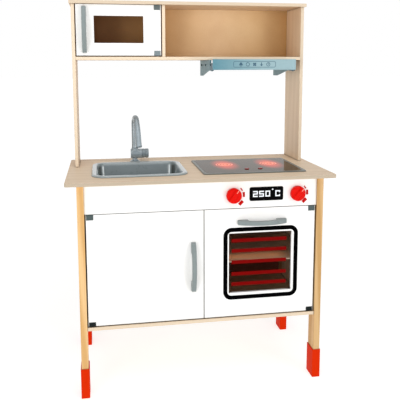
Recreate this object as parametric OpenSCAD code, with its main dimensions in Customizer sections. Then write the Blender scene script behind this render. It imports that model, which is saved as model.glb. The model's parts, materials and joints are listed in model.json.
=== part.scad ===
// Child's play kitchen: a wooden base unit with a sink, a hob, a cupboard and
// an oven, and an upper unit with a microwave and a hood.
// +X is to the right, +Y to the back and +Z up; the origin is on the floor
// under the middle of the worktop. All sizes are in millimetres.

/* [Worktop and boards] */
// Width of the worktop
worktop_w = 700; // [680:4:740]
// Depth of the worktop
worktop_d = 372; // [372:4:400]
// Height of the worktop's upper face
worktop_z = 573; // [560:1:600]
// Thickness of the wooden boards and doors
board_t = 9; // [8:0.5:10]
// Thickness of the thin back boards and of the oven shelf
back_t = 4; // [3:0.5:5]

/* [Legs and feet] */
// Outer width across the legs
leg_span = 644; // [636:2:660]
// Width of a leg, seen from the front
leg_w = 17.4; // [16:0.2:19]
// Depth of a leg, front to back
leg_d = 42; // [38:1:44]
// Set-back of the legs from the worktop's front edge
leg_inset = 21; // [18:1:24]
// Height of a foot
foot_h = 80; // [70:1:95]
// Wall thickness of a foot
foot_wall = 2.1; // [1.8:0.1:3]
// Height of the base board's upper face
base_z = 190; // [180:1:200]

/* [Doors] */
// Height of the control panel
panel_h = 76.5; // [74:0.5:80]
// Gap between a door and the pieces beside it
door_gap = 3.1; // [2.5:0.1:3.5]
// Width of the oven window
window_w = 171; // [150:1:176]
// Height of the oven window
window_h = 163; // [150:1:170]
// Height of the middle of the oven window
window_z = 338; // [332:0.5:342]

/* [Controls] */
// Diameter of a knob
knob_d = 40; // [36:1:44]
// Height of a knob from the panel's face
knob_h = 19; // [17:1:22]
// Angle of the left knob's grip from horizontal
knob_left_turn = 57; // [0:1:180]
// Angle of the right knob's grip from horizontal
knob_right_turn = 48; // [0:1:180]

/* [Handles] */
// Length of a handle
handle_l = 132; // [112:2:136]
// Width of a handle
handle_w = 13; // [12:1:20]
// Height of a handle from the door's face
handle_h = 26; // [22:1:26]

/* [Upper unit] */
// Overall height
overall_h = 1034.5; // [1020:0.5:1060]
// Outer width across the upper side panels
upper_span = 663.8; // [658:0.2:670]
// Depth of the upper side panels
upper_d = 135; // [130:1:140]
// Overhang of the top board past each side panel
top_overhang = 5.4; // [3:0.2:8]
// Height of the upper shelf's upper face
shelf_z = 882; // [875:1:886]

/* [Tap and sink] */
// Outer width of the sink's rim
sink_w = 253; // [243:1:256]
// Outer depth of the sink's rim
sink_d = 222; // [214:1:226]
// Depth of the sink's bowl below the worktop's upper face
sink_depth = 58; // [45:1:62]
// Height of the spout's crest above the worktop
tap_h = 140.3; // [128:0.1:150]
// Outer diameter of the spout's tube
spout_d = 17.2; // [15:0.2:18]

/* [Hob] */
// Outer width of the hob
hob_w = 282; // [270:2:284]
// Outer depth of the hob
hob_d = 225; // [215:1:228]

/* [Hidden] */
$fn = 64;
eps = 0.01;

// Colours
birch = [0.86, 0.78, 0.66];
pine = [0.88, 0.73, 0.50];
hardboard = [0.72, 0.56, 0.36];
white_board = [0.96, 0.96, 0.95];
orange_red = [0.92, 0.18, 0.06];
dark_red = [0.66, 0.04, 0.02];
handle_grey = [0.65, 0.69, 0.68];
clip_grey = [0.25, 0.28, 0.30];
sink_grey = [0.50, 0.54, 0.56];
hood_blue = [0.59, 0.73, 0.78];
bracket_grey = [0.55, 0.59, 0.59];
black_print = [0.03, 0.03, 0.03];
zinc = [0.78, 0.78, 0.80];

// Worktop and base unit
front_y = -worktop_d / 2;
back_y = worktop_d / 2;
worktop_bottom = worktop_z - board_t;
leg_out = leg_span / 2;
leg_in = leg_out - leg_w;
leg_front_y = front_y + leg_inset;
leg_back_y = back_y - 15 - leg_d;
leg_bottom = 3;
foot_gap = 0.25;
face_y = leg_front_y + 6;
base_front_y = leg_front_y + 2.5;
cab_back_y = back_y - 21;
back_board_y = cab_back_y - back_t;
divider_front_y = face_y + board_t + 0.3;

// Doors
door_bottom = base_z + 2;
door_top = worktop_bottom - panel_h - 1.5;
panel_bottom = worktop_bottom - panel_h;
door_out = leg_in - door_gap;
door_mid_gap = 1;
clip_w = 17.5;
clip_h = 11;
tall_clip_h = 13.5;
clip_edge = 1.5;
clip_plate = 1.2;
clip_web = 1.4;
pin_r = 1.5;
pin_bore_r = 1.55;
pin_l = 6.5;
door_pin_x = door_out - clip_edge - clip_w / 2;
door_pin_y = face_y + board_t / 2;

// Controls on the panel's front face
knob_z = worktop_z - 51;
knob_left_x = 77.9;
knob_right_x = 251;
knob_gap = 0.3;
axle_r = 2.4;
axle_bore_r = 2.45;
display_x = 166.5;
display_z = worktop_z - 49.5;
display_w = 91.5;
display_h = 37;
display_t = 1;
print_t = 0.25;

// Oven
window_x = 152.2;
pane_t = 2;
pane_margin = 10;
oven_shelf_z = window_z + 0.8;
oven_shelf_front_y = divider_front_y + 8;
groove = 3;

// Handles
handle_t = 7.5;
handle_end_h = 9;
handle_pad_l = 27.5;
handle_hole_inset = 11;
mw_handle_l = handle_l - 6;
handle_screw_r = 1.6;
cupboard_handle_x = -28.1;
cupboard_handle_z = 336;
oven_handle_x = 155;
oven_handle_z = 449.5;

// Upper unit
upper_front_y = 45;
upper_back_y = upper_front_y + upper_d;
upper_out = upper_span / 2;
upper_in = upper_out - board_t;
top_board_z = overall_h - board_t;
shelf_bottom = shelf_z - board_t;
upper_board_y = upper_back_y - back_t;
divider_x = -78.5;
upper_screw_y = [upper_front_y + 30, upper_front_y + 105];
mw_left = -upper_in + 3;
mw_right = divider_x - board_t / 2 - 3;
mw_bottom = shelf_z + 3;
mw_top = top_board_z - 1;
mw_face_y = upper_front_y + 1.5;
mw_clip_edge = 2;
mw_pin_x = mw_right - mw_clip_edge - clip_w / 2;
mw_pin_y = mw_face_y + board_t / 2;
mw_window_x = -203;
mw_window_w = 136;
mw_window_h = 74;
mw_window_z = (mw_bottom + mw_top) / 2 + 2;
mw_handle_x = -297.7;
mw_handle_z = (mw_bottom + mw_top) / 2 + 1;

// Hood
hood_left = 47.5;
hood_right = 285;
hood_plate_t = 6;
hood_bracket_t = 4;
hood_front_y = -30;
hood_front_drop = 28;
hood_bracket_drop = 30.4;
hood_tail_drop = 46.5;
hood_slope_y = [42, 141];
hood_step_y = 11;
hood_step_h = 9;
hood_slots = [[132.5, 57], [83.5, 16], [4.5, 16]];
hood_slot_z = 14;
hood_slot_h = 5.6;
hood_slot_depth = 2.4;
hood_boss_r = 3.5;
hood_boss_y = -8;
hood_flange_y = [62, 168];
hood_flange_w = 12;
hood_flange_t = 4;
hood_screw_y = [75, 150];
hood_screw_l = 11;

// Sink
sink_x = -159;
sink_y = -18.5;
sink_rim_h = 5;
sink_rim_w = 15;
sink_wall = 2.2;
sink_r = 38;
sink_hole_gap = 1.5;

// Tap
tap_x = -160.5;
tap_y = 124;
tap_axis_z = worktop_z + 24;
tap_body_r = 14.3;
tap_lever_x = tap_x + 21;
tap_lever_l = 20;
tap_tail_r = 8;
tap_neck_r = 7.5;
tap_flange_r = 15;
spout_r = spout_d / 2;
spout_base_z = tap_axis_z + 16.6;
spout_turn = 7;
spindle_r = 5;
spindle_bore_r = 5.05;

// The spout's centre line seen from the side, as reach and height: a tight bend over the
// top, a slight bend down the front and a straight outlet
bend_r = 18.5;
bend_turn = 137;
bend_centre = [bend_r, worktop_z + tap_h - spout_r - bend_r];
lean_r = 122;
lean_turn = 22;
lean_start = 180 - bend_turn;
lean_end = lean_start - lean_turn;
lean_centre = bend_centre + (bend_r - lean_r) * [cos(lean_start), sin(lean_start)];
outlet_top = lean_centre + lean_r * [cos(lean_end), sin(lean_end)];
outlet_l = 37;
outlet_ring_l = 5;
spout_band_h = 0.1;
spout_band_l = 1;

// Hob
hob_x = 5 + hob_w / 2;
hob_y = -18.5;
hob_rim_h = 3;
hob_rim_w = 8;
glass_t = 2;
tub_in = 11;
tub_wall = 2.5;
tub_bottom = worktop_z - 25;
glass_z = worktop_z + hob_rim_h - 0.2 - glass_t;
button_r = 6.2;
button_y = -77;
button_x = [134, 172];
burner_x = [88.5, 218];
burner_y = 0;
board_z = tub_bottom + 5;
battery_x = hob_x;
battery_y = 30;
battery_l = 50;
battery_r = 7.1;
battery_pitch = 15;
battery_drop = 20;
box_l = 60;
box_w = 54;

// A block between two opposite corners
module block(low, high) {
    translate(low) cube(high - low);
}

// A flat outline with four round corners, centred on the origin
module round_outline(w, h, r) {
    square([w - 2 * r, h], center = true);
    square([w, h - 2 * r], center = true);
    for (sx = [-1, 1], sy = [-1, 1])
        translate([sx * (w / 2 - r), sy * (h / 2 - r)]) circle(r);
}

// A rounded plate lying flat, from height z0 up to z1
module round_plate(x, y, w, h, r, z0, z1) {
    translate([x, y, z0]) linear_extrude(z1 - z0) round_outline(w, h, r);
}

// Lays an outline drawn in X and Z on a vertical plane; it grows from y towards the front
module on_face(y, t) {
    translate([0, y, 0]) rotate([90, 0, 0]) linear_extrude(t) children();
}

// Cylinders along the three axes, each starting at its lower end
module rod_x(at, r, l) {
    translate(at) rotate([0, 90, 0]) cylinder(r = r, h = l);
}
module rod_y(at, r, l) {
    translate(at) rotate([-90, 0, 0]) cylinder(r = r, h = l);
}
module rod_z(at, r, l) {
    translate(at) cylinder(r = r, h = l);
}

// A wood screw with a flat head at the origin, its point along +Z
screw_head_r = 4;
screw_head_h = 2.6;
screw_shank_r = 1.8;
screw_gap = 0.05;
module wood_screw(l) {
    difference() {
        union() {
            cylinder(r = screw_head_r, h = screw_head_h);
            cylinder(r = screw_shank_r, h = l - 2);
            translate([0, 0, l - 2]) cylinder(r1 = screw_shank_r, r2 = 0.4, h = 2);
        }
        for (turn = [0, 90])
            rotate([0, 0, turn]) translate([-2, -0.45, -eps]) cube([4, 0.9, 1.4 + eps]);
    }
}
module wood_screw_hole(l) {
    translate([0, 0, -eps]) cylinder(r = screw_head_r + 0.1, h = screw_head_h + 0.1 + eps);
    cylinder(r = screw_shank_r + screw_gap, h = l + 0.3);
}

// Every frame screw: its head's place, the turn that points it inwards, and its length
side_screw_l = 42;
frame_screw_list = concat(
    [for (s = [-1, 1], y = [leg_front_y + leg_d / 2, leg_back_y + leg_d / 2])
        [[s * leg_out, y, base_z - board_t / 2], [0, -s * 90, 0], side_screw_l]],
    [for (s = [-1, 1], z = [panel_bottom + 18, worktop_bottom - 18])
        [[s * leg_out, door_pin_y, z], [0, -s * 90, 0], side_screw_l]],
    [for (x = [-upper_out + board_t / 2, divider_x, upper_out - board_t / 2], y = upper_screw_y)
        [[x, y, overall_h], [180, 0, 0], 32]],
    [for (s = [-1, 1], y = upper_screw_y)
        [[s * upper_out, y, shelf_z - board_t / 2], [0, -s * 90, 0], 32]],
    [for (s = [-1, 1], y = upper_screw_y)
        [[s * (upper_out - board_t / 2), y, worktop_bottom], [0, 0, 0], 32]],
    [for (y = [-70, 80]) [[0, y, base_z - board_t], [0, 0, 0], 32]],
    [for (s = [-1, 1], y = [leg_front_y + leg_d / 2, leg_back_y + leg_d / 2])
        [[s * (leg_out + foot_wall + foot_gap), y, foot_h / 2], [0, -s * 90, 0], 15]],
    [for (x = [hood_left + hood_bracket_t + 6, hood_right - hood_bracket_t - 6], y = hood_screw_y)
        [[x, y, shelf_bottom - hood_flange_t], [0, 0, 0], hood_screw_l]]);
module frame_screw_holes() {
    for (s = frame_screw_list)
        translate(s[0]) rotate(s[1]) wood_screw_hole(s[2]);
}

// Base unit ------------------------------------------------------------------

module worktop() {
    color(birch) difference() {
        round_plate(0, 0, worktop_w, worktop_d, 7, worktop_bottom, worktop_z);
        round_plate(sink_x, sink_y, sink_w - 2 * sink_rim_w + 2 * sink_hole_gap,
            sink_d - 2 * sink_rim_w + 2 * sink_hole_gap, sink_r - sink_rim_w + sink_hole_gap,
            worktop_bottom - 1, worktop_z + 1);
        round_plate(hob_x, hob_y, hob_w - 2 * (hob_rim_w + tub_in) + 6,
            hob_d - 2 * (hob_rim_w + tub_in) + 6, 6, worktop_bottom - 1, worktop_z + 1);
        rod_z([tap_x, tap_y, worktop_bottom - 1], tap_tail_r + 0.2, board_t + 2);
        frame_screw_holes();
    }
}

// side is -1 on the left and 1 on the right; y is the leg's front face
module leg(side, y) {
    x = side < 0 ? -leg_out : leg_in;
    color(pine) difference() {
        block([x, y, leg_bottom], [x + leg_w, y + leg_d, worktop_bottom]);
        frame_screw_holes();
    }
}
module leg_front_left() { leg(-1, leg_front_y); }
module leg_front_right() { leg(1, leg_front_y); }
module leg_back_left() { leg(-1, leg_back_y); }
module leg_back_right() { leg(1, leg_back_y); }

// A plastic shoe that takes the leg's lower end
module foot(side, y) {
    x = side * (leg_out - leg_w / 2);
    mid = y + leg_d / 2;
    outer_w = leg_w + 2 * (foot_wall + foot_gap);
    outer_d = leg_d + 2 * (foot_wall + foot_gap);
    color(orange_red) difference() {
        round_plate(x, mid, outer_w, outer_d, 1.6, 0, foot_h);
        block([x - leg_w / 2 - foot_gap, y - foot_gap, leg_bottom],
            [x + leg_w / 2 + foot_gap, y + leg_d + foot_gap, foot_h + 1]);
        frame_screw_holes();
    }
}
module foot_front_left() { foot(-1, leg_front_y); }
module foot_front_right() { foot(1, leg_front_y); }
module foot_back_left() { foot(-1, leg_back_y); }
module foot_back_right() { foot(1, leg_back_y); }

module side_panel(side) {
    x = side < 0 ? -leg_in - board_t : leg_in;
    block([x, leg_front_y + leg_d, base_z - board_t], [x + board_t, leg_back_y, worktop_bottom]);
}
module side_panel_left() { color(birch) side_panel(-1); }
module side_panel_right() {
    color(birch) difference() {
        side_panel(1);
        block([leg_in - 1, leg_front_y + leg_d - 1, oven_shelf_z - back_t - 0.1],
            [leg_in + groove, leg_back_y + 1, oven_shelf_z + 0.1]);
    }
}

module base_board() {
    color(birch) difference() {
        block([-leg_in, base_front_y, base_z - board_t], [leg_in, cab_back_y, base_z]);
        for (s = [-1, 1]) rod_z([s * door_pin_x, door_pin_y, base_z - 8], pin_bore_r, 9);
        frame_screw_holes();
    }
}

module cabinet_divider() {
    color(birch) difference() {
        block([-board_t / 2, divider_front_y, base_z], [board_t / 2, back_board_y, worktop_bottom]);
        block([board_t / 2 - groove, divider_front_y - 1, oven_shelf_z - back_t - 0.1],
            [board_t, back_board_y + 1, oven_shelf_z + 0.1]);
        frame_screw_holes();
    }
}

module cabinet_back() {
    color(hardboard) block([-leg_in, back_board_y, base_z], [leg_in, cab_back_y, worktop_bottom]);
}

module control_panel() {
    color(white_board) difference() {
        block([-leg_in, face_y, panel_bottom], [leg_in, face_y + board_t, worktop_bottom]);
        for (x = [knob_left_x, knob_right_x])
            rod_y([x, face_y - 1, knob_z], axle_bore_r, board_t + 2);
        for (s = [-1, 1]) rod_z([s * door_pin_x, door_pin_y, panel_bottom - 1], pin_bore_r, 8);
        frame_screw_holes();
    }
}

// Set in the grooves, with its corners cut away round the legs; its front edge stands
// back from the door's inner corner, which swings inwards as the door opens
module oven_shelf() {
    color(birch) {
        block([board_t / 2 - groove + 0.2, oven_shelf_front_y, oven_shelf_z - back_t],
            [leg_in - 0.3, back_board_y - 0.3, oven_shelf_z]);
        block([leg_in - 1, leg_front_y + leg_d + 0.3, oven_shelf_z - back_t],
            [leg_in + groove - 0.2, leg_back_y - 0.3, oven_shelf_z]);
    }
}

// Controls -------------------------------------------------------------------

module display_plate() {
    color(black_print) on_face(face_y, display_t)
        translate([display_x, display_z]) round_outline(display_w, display_h, 5);
}

// One character of bars in a 13 x 16 cell; bars holds the lit ones of top, upper left,
// upper right, middle, lower left, lower right and bottom
glyph_w = 13;
glyph_h = 16;
bar_t = 3.1;
module glyph(bars) {
    half = glyph_h / 2;
    if (bars[0] == 1) translate([0, glyph_h - bar_t]) square([glyph_w, bar_t]);
    if (bars[1] == 1) translate([0, half - bar_t / 2]) square([bar_t, half + bar_t / 2]);
    if (bars[2] == 1) translate([glyph_w - bar_t, half - bar_t / 2]) square([bar_t, half + bar_t / 2]);
    if (bars[3] == 1) translate([0, half - bar_t / 2]) square([glyph_w, bar_t]);
    if (bars[4] == 1) square([bar_t, half + bar_t / 2]);
    if (bars[5] == 1) translate([glyph_w - bar_t, 0]) square([bar_t, half + bar_t / 2]);
    if (bars[6] == 1) square([glyph_w, bar_t]);
}
module display_digits() {
    color("white") on_face(face_y - display_t, print_t) translate([display_x, display_z]) {
        translate([-36.5, -glyph_h / 2]) glyph([1, 0, 1, 1, 1, 0, 1]);
        translate([-20, -glyph_h / 2]) glyph([1, 1, 0, 1, 0, 1, 1]);
        translate([-3, -glyph_h / 2]) glyph([1, 1, 1, 0, 1, 1, 1]);
        translate([16.5, 11.2]) circle(2);
        translate([24, -glyph_h / 2]) glyph([1, 1, 0, 0, 1, 0, 1]);
        for (z = [-glyph_h / 2, glyph_h / 2 - 5.2])
            translate([24 + glyph_w - bar_t, z]) square([bar_t, 5.2]);
    }
}

// Three bars that grow round each knob, as [angle, thickness, length], and the radius of
// the circle that their inner edges stand on
heat_bars = [[35, 3, 9], [2.5, 6, 13], [-45.5, 8.5, 14]];
heat_r = 24.7;
module heat_marks() {
    color(dark_red) for (x = [knob_left_x, knob_right_x], b = heat_bars)
        on_face(face_y, print_t) translate([x, knob_z]) rotate(b[0])
            translate([heat_r + b[1] / 2, 0]) round_outline(b[1], b[2], 0.8);
}

// A disc with a grip bar across it and a blind bore for its screw
module knob(x, turn) {
    grip_w = 12.5;
    skirt_h = 13;
    color(orange_red) translate([x, face_y - knob_gap, knob_z]) rotate([90, 0, 0]) difference() {
        union() {
            cylinder(d = knob_d, h = skirt_h);
            rotate([0, 0, turn]) intersection() {
                cylinder(d = knob_d - 2, h = knob_h - knob_gap);
                translate([-knob_d / 2, -grip_w / 2, 0]) cube([knob_d, grip_w, knob_h]);
            }
        }
        translate([0, 0, -1]) cylinder(r = axle_r + screw_gap, h = 13.8);
        rotate([0, 0, turn]) translate([knob_d / 2 - 11, -0.8, knob_h - knob_gap - 0.8])
            cube([12, 1.6, 2]);
    }
}
module knob_left() { knob(knob_left_x, knob_left_turn); }
module knob_right() { knob(knob_right_x, knob_right_turn); }

// Turns with its knob; its wide head stops at the back of the panel
module knob_screw(x) {
    color(zinc) difference() {
        union() {
            rod_y([x, face_y - 12, knob_z], axle_r, board_t + 13);
            rod_y([x, face_y + board_t + knob_gap, knob_z], 6, 2.5);
        }
        for (turn = [0, 90]) translate([x, face_y + board_t + knob_gap + 1.3, knob_z])
            rotate([0, turn, 0]) translate([-3, 0, -0.5]) cube([6, 3, 1]);
    }
}
module knob_screw_left() { knob_screw(knob_left_x); }
module knob_screw_right() { knob_screw(knob_right_x); }

// Handles, hinge clips and their screws --------------------------------------

// Side view of a bow handle of length l: length along X, height from the door's face along Y
module handle_profile(l) {
    half = l / 2;
    rise = handle_h - handle_end_h;
    outer_r = (half * half + rise * rise) / (2 * rise);
    centre = handle_h - outer_r;
    intersection() {
        translate([0, centre]) circle(outer_r, $fn = 256);
        translate([-half, 0]) square([l, handle_h + 1]);
        difference() {
            translate([-half, 0]) square([l, handle_h + 1]);
            intersection() {
                translate([0, centre]) circle(outer_r - handle_t, $fn = 256);
                translate([-half + handle_pad_l, -1]) square([l - 2 * handle_pad_l, handle_h]);
            }
        }
    }
}

// A handle on a door face at y; turn is 0 for one lying level and 90 for an upright one
module handle(x, z, y, turn, l) {
    color(handle_grey) difference() {
        translate([x, y, z]) rotate([0, turn, 0]) mirror([0, 1, 0])
            translate([0, 0, -handle_w / 2]) linear_extrude(handle_w) handle_profile(l);
        handle_screw_holes(x, z, y, turn, l, 7);
    }
}
module handle_screw_holes(x, z, y, turn, l, depth) {
    reach = l / 2 - handle_hole_inset;
    translate([x, y, z]) rotate([0, turn, 0]) for (s = [-1, 1])
        rod_y([s * reach, -depth, 0], handle_screw_r + screw_gap, depth + board_t + 1);
}
module handle_screws(x, z, y, turn, l) {
    reach = l / 2 - handle_hole_inset;
    translate([x, y, z]) rotate([0, turn, 0]) for (s = [-1, 1]) translate([s * reach, 0, 0])
        difference() {
            union() {
                rod_y([0, -6.5, 0], handle_screw_r, board_t + 7);
                rod_y([0, board_t, 0], 3.4, 2);
            }
            for (t = [0, 90]) rotate([0, t, 0]) translate([-1.8, board_t + 0.9, -0.4]) cube([3.6, 2, 0.8]);
        }
}

// A clip of height h over a door's top or bottom edge with its hinge pin; up is 1 at the top edge
module hinge_clip(x, y, edge_z, up, h) {
    translate([x, y, edge_z]) mirror([0, 0, up > 0 ? 0 : 1]) {
        block([-clip_w / 2, -clip_plate, -h], [clip_w / 2, 0, 0]);
        block([-clip_w / 2, board_t, -h], [clip_w / 2, board_t + clip_plate, 0]);
        block([-clip_w / 2, -clip_plate, -clip_web], [clip_w / 2, board_t + clip_plate, 0]);
        rod_z([0, board_t / 2, -clip_web], pin_r, clip_web + pin_l);
    }
}
// The room that a clip's web needs in the door's edge
module clip_notch(x, y, edge_z, up) {
    translate([x, y, edge_z]) mirror([0, 0, up > 0 ? 0 : 1])
        block([-clip_w / 2 - 0.1, -1, -clip_web - 0.1], [clip_w / 2 + 0.1, board_t + 1, 1]);
}

// Cupboard door, hinged on the left -------------------------------------------

module cupboard_door() {
    color(white_board) difference() {
        block([-door_out, face_y, door_bottom], [-door_mid_gap, face_y + board_t, door_top]);
        clip_notch(-door_pin_x, face_y, door_top, 1);
        clip_notch(-door_pin_x, face_y, door_bottom, -1);
        handle_screw_holes(cupboard_handle_x, cupboard_handle_z, face_y, 90, handle_l, 0);
    }
}
module cupboard_handle() { handle(cupboard_handle_x, cupboard_handle_z, face_y, 90, handle_l); }
module cupboard_hinge_clips() {
    color(clip_grey) {
        hinge_clip(-door_pin_x, face_y, door_top, 1, tall_clip_h);
        hinge_clip(-door_pin_x, face_y, door_bottom, -1, clip_h);
    }
}
module cupboard_door_screws() {
    color(zinc) handle_screws(cupboard_handle_x, cupboard_handle_z, face_y, 90, handle_l);
}

// Oven door, hinged on the right ----------------------------------------------

pane_w = window_w + 2 * pane_margin;
pane_h = window_h + 2 * pane_margin;
pane_screw_r = 1.2;
pane_screw_places = [for (sx = [-1, 1], sz = [-1, 1])
    [window_x + sx * (pane_w / 2 - 5), window_z + sz * (pane_h / 2 - 5)]];
module pane_screw_holes() {
    for (p = pane_screw_places)
        rod_y([p[0], face_y + 3, p[1]], pane_screw_r + screw_gap, board_t);
}
module oven_door() {
    color(white_board) difference() {
        block([door_mid_gap, face_y, door_bottom], [door_out, face_y + board_t, door_top]);
        on_face(face_y + board_t + 1, board_t + 2)
            translate([window_x, window_z]) square([window_w, window_h], center = true);
        clip_notch(door_pin_x, face_y, door_top, 1);
        clip_notch(door_pin_x, face_y, door_bottom, -1);
        handle_screw_holes(oven_handle_x, oven_handle_z, face_y, 0, handle_l, 0);
        pane_screw_holes();
    }
}
module oven_handle() { handle(oven_handle_x, oven_handle_z, face_y, 0, handle_l); }
module oven_hinge_clips() {
    color(clip_grey) {
        hinge_clip(door_pin_x, face_y, door_top, 1, tall_clip_h);
        hinge_clip(door_pin_x, face_y, door_bottom, -1, clip_h);
    }
}
module oven_door_screws() {
    color(zinc) {
        handle_screws(oven_handle_x, oven_handle_z, face_y, 0, handle_l);
        for (p = pane_screw_places) {
            rod_y([p[0], face_y + 4, p[1]], pane_screw_r, board_t + pane_t - 4);
            rod_y([p[0], face_y + board_t + pane_t, p[1]], 2.4, 1.4);
        }
    }
}
module oven_pane() {
    color([0.35, 0.25, 0.2, 0.5]) difference() {
        on_face(face_y + board_t + pane_t, pane_t)
            translate([window_x, window_z]) round_outline(pane_w, pane_h, 4);
        pane_screw_holes();
    }
}
stripe_w = 151;
stripe_h = 10;
stripe_z = [-60.5, -32.4, 0.2, 31.1, 59.2];
module oven_pane_stripes() {
    color(dark_red) for (z = stripe_z) on_face(face_y + board_t, print_t)
        translate([window_x - 1, window_z + z]) round_outline(stripe_w, stripe_h, 1);
}
module oven_frame_print() {
    band = 11.3;
    outer = [203.8, 197.2];
    corner_r = 22;
    color(black_print) on_face(face_y, print_t) translate([window_x + 1.3, window_z - 1.5]) difference() {
        round_outline(outer[0], outer[1], corner_r);
        round_outline(outer[0] - 2 * band, outer[1] - 2 * band, corner_r - band);
    }
}

// Microwave door, hinged on the right -----------------------------------------

module microwave_door() {
    color(white_board) difference() {
        block([mw_left, mw_face_y, mw_bottom], [mw_right, mw_face_y + board_t, mw_top]);
        on_face(mw_face_y + board_t + 1, board_t + 2)
            translate([mw_window_x, mw_window_z]) square([mw_window_w, mw_window_h], center = true);
        clip_notch(mw_pin_x, mw_face_y, mw_top, 1);
        clip_notch(mw_pin_x, mw_face_y, mw_bottom, -1);
        handle_screw_holes(mw_handle_x, mw_handle_z, mw_face_y, 90, mw_handle_l, 0);
    }
}
module microwave_handle() { handle(mw_handle_x, mw_handle_z, mw_face_y, 90, mw_handle_l); }
module microwave_hinge_clips() {
    color(bracket_grey) {
        hinge_clip(mw_pin_x, mw_face_y, mw_top, 1, tall_clip_h);
        hinge_clip(mw_pin_x, mw_face_y, mw_bottom, -1, tall_clip_h);
    }
}
module microwave_door_screws() {
    color(zinc) handle_screws(mw_handle_x, mw_handle_z, mw_face_y, 90, mw_handle_l);
}

// Upper unit -------------------------------------------------------------------

module upper_panel(side) {
    x = side < 0 ? -upper_out : upper_in;
    color(birch) difference() {
        block([x, upper_front_y, worktop_z], [x + board_t, upper_back_y, top_board_z]);
        frame_screw_holes();
    }
}
module upper_panel_left() { upper_panel(-1); }
module upper_panel_right() { upper_panel(1); }

module top_board() {
    color(birch) difference() {
        block([-upper_out - top_overhang, upper_front_y - 6, top_board_z],
            [upper_out + top_overhang, upper_back_y + 2, overall_h]);
        rod_z([mw_pin_x, mw_pin_y, top_board_z - 1], pin_bore_r, 6.8);
        frame_screw_holes();
    }
}

module upper_shelf() {
    color(birch) difference() {
        block([-upper_in, upper_front_y, shelf_bottom], [upper_in, upper_board_y, shelf_z]);
        rod_z([mw_pin_x, mw_pin_y, shelf_z - 4], pin_bore_r, 5);
        frame_screw_holes();
    }
}

module upper_divider() {
    color(birch) difference() {
        block([divider_x - board_t / 2, upper_front_y, shelf_z],
            [divider_x + board_t / 2, upper_board_y, top_board_z]);
        frame_screw_holes();
    }
}

module upper_back() {
    color(hardboard) block([-upper_in, upper_board_y, shelf_bottom], [upper_in, upper_back_y, top_board_z]);
}

// Hood -------------------------------------------------------------------------

module hood_front() {
    color(hood_blue) block([hood_left, hood_front_y, shelf_bottom - hood_front_drop],
        [hood_right, hood_front_y + hood_plate_t, shelf_bottom + 1.6]);
}

// Side view of a bracket: depth along X and height along Y
module hood_bracket_outline() {
    tail = upper_board_y - 0.3;
    nose = hood_front_y + hood_plate_t;
    translate([0, shelf_bottom]) {
        polygon([[nose, -hood_bracket_drop], [hood_slope_y[0], -hood_bracket_drop],
            [hood_slope_y[1], -hood_tail_drop], [tail, -hood_tail_drop], [tail, 0],
            [hood_step_y, 0], [hood_step_y, -hood_step_h], [nose, -hood_step_h]]);
        translate([hood_boss_y, -hood_bracket_drop + 2]) circle(hood_boss_r);
    }
}
// Slots pressed into a bracket's outer face, each as [middle, length]
module hood_bracket_slots() {
    for (slot = hood_slots) translate([slot[0], shelf_bottom - hood_slot_z])
        round_outline(slot[1], hood_slot_h, 2.5);
}
module hood_bracket(x, inward) {
    difference() {
        union() {
            translate([x, 0, 0]) rotate([90, 0, 90]) linear_extrude(hood_bracket_t) hood_bracket_outline();
            block([inward > 0 ? x : x - hood_flange_w + hood_bracket_t, hood_flange_y[0],
                shelf_bottom - hood_flange_t],
                [inward > 0 ? x + hood_flange_w : x + hood_bracket_t, hood_flange_y[1], shelf_bottom]);
        }
        translate([inward > 0 ? x - 1 : x + hood_bracket_t - hood_slot_depth, 0, 0])
            rotate([90, 0, 90]) linear_extrude(hood_slot_depth + 1) hood_bracket_slots();
        frame_screw_holes();
    }
}
module hood_brackets() {
    color(bracket_grey) {
        hood_bracket(hood_left, 1);
        hood_bracket(hood_right - hood_bracket_t, -1);
    }
}

// Tap --------------------------------------------------------------------------

module tap_body() {
    socket_r = 9.6;
    color(sink_grey) difference() {
        union() {
            rod_z([tap_x, tap_y, worktop_z], tap_flange_r, 1.5);
            translate([tap_x, tap_y, worktop_z + 1.5])
                cylinder(r1 = tap_flange_r - 1, r2 = tap_neck_r, h = 5);
            rod_z([tap_x, tap_y, worktop_z], tap_neck_r, 20);
            rod_z([tap_x, tap_y, worktop_bottom - 12], tap_tail_r, board_t + 13);
            rod_x([tap_x - 12.5, tap_y, tap_axis_z], tap_body_r, 33.5);
            rod_z([tap_x, tap_y, tap_axis_z], socket_r, 16.3);
        }
        rod_z([tap_x, tap_y, tap_axis_z + 4], 6.05, 14);
        rod_x([tap_lever_x - 9, tap_y, tap_axis_z], spindle_bore_r, 10);
    }
}

// Holds the tap from below
module tap_nut() {
    color(sink_grey) difference() {
        rod_z([tap_x, tap_y, worktop_bottom - 7], 15, 7);
        rod_z([tap_x, tap_y, worktop_bottom - 8], tap_tail_r + screw_gap, 9);
        for (turn = [0:60:300]) translate([tap_x, tap_y, worktop_bottom - 4.5])
            rotate([0, 0, turn]) translate([14, -2, -3]) cube([4, 4, 5]);
    }
}

// A piece of the bent tube about a centre, from one angle on by a turn
module spout_bend(centre, from, turn, r) {
    translate(centre) rotate([0, 0, from]) rotate_extrude(angle = turn)
        translate([r, 0]) circle(spout_r);
}

// A low band over the joint between two pieces of the tube, at an angle on a centre
module spout_band(centre, angle, r) {
    translate(centre) rotate([0, 0, angle])
        rod_y([r, -spout_band_l / 2, 0], spout_r + spout_band_h, spout_band_l);
}

// A straight piece along the outlet, from a distance past its upper end
module outlet_rod(from, r, l) {
    translate(outlet_top) rotate([0, 0, lean_end - 180]) rod_y([0, from, 0], r, l);
}

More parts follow.
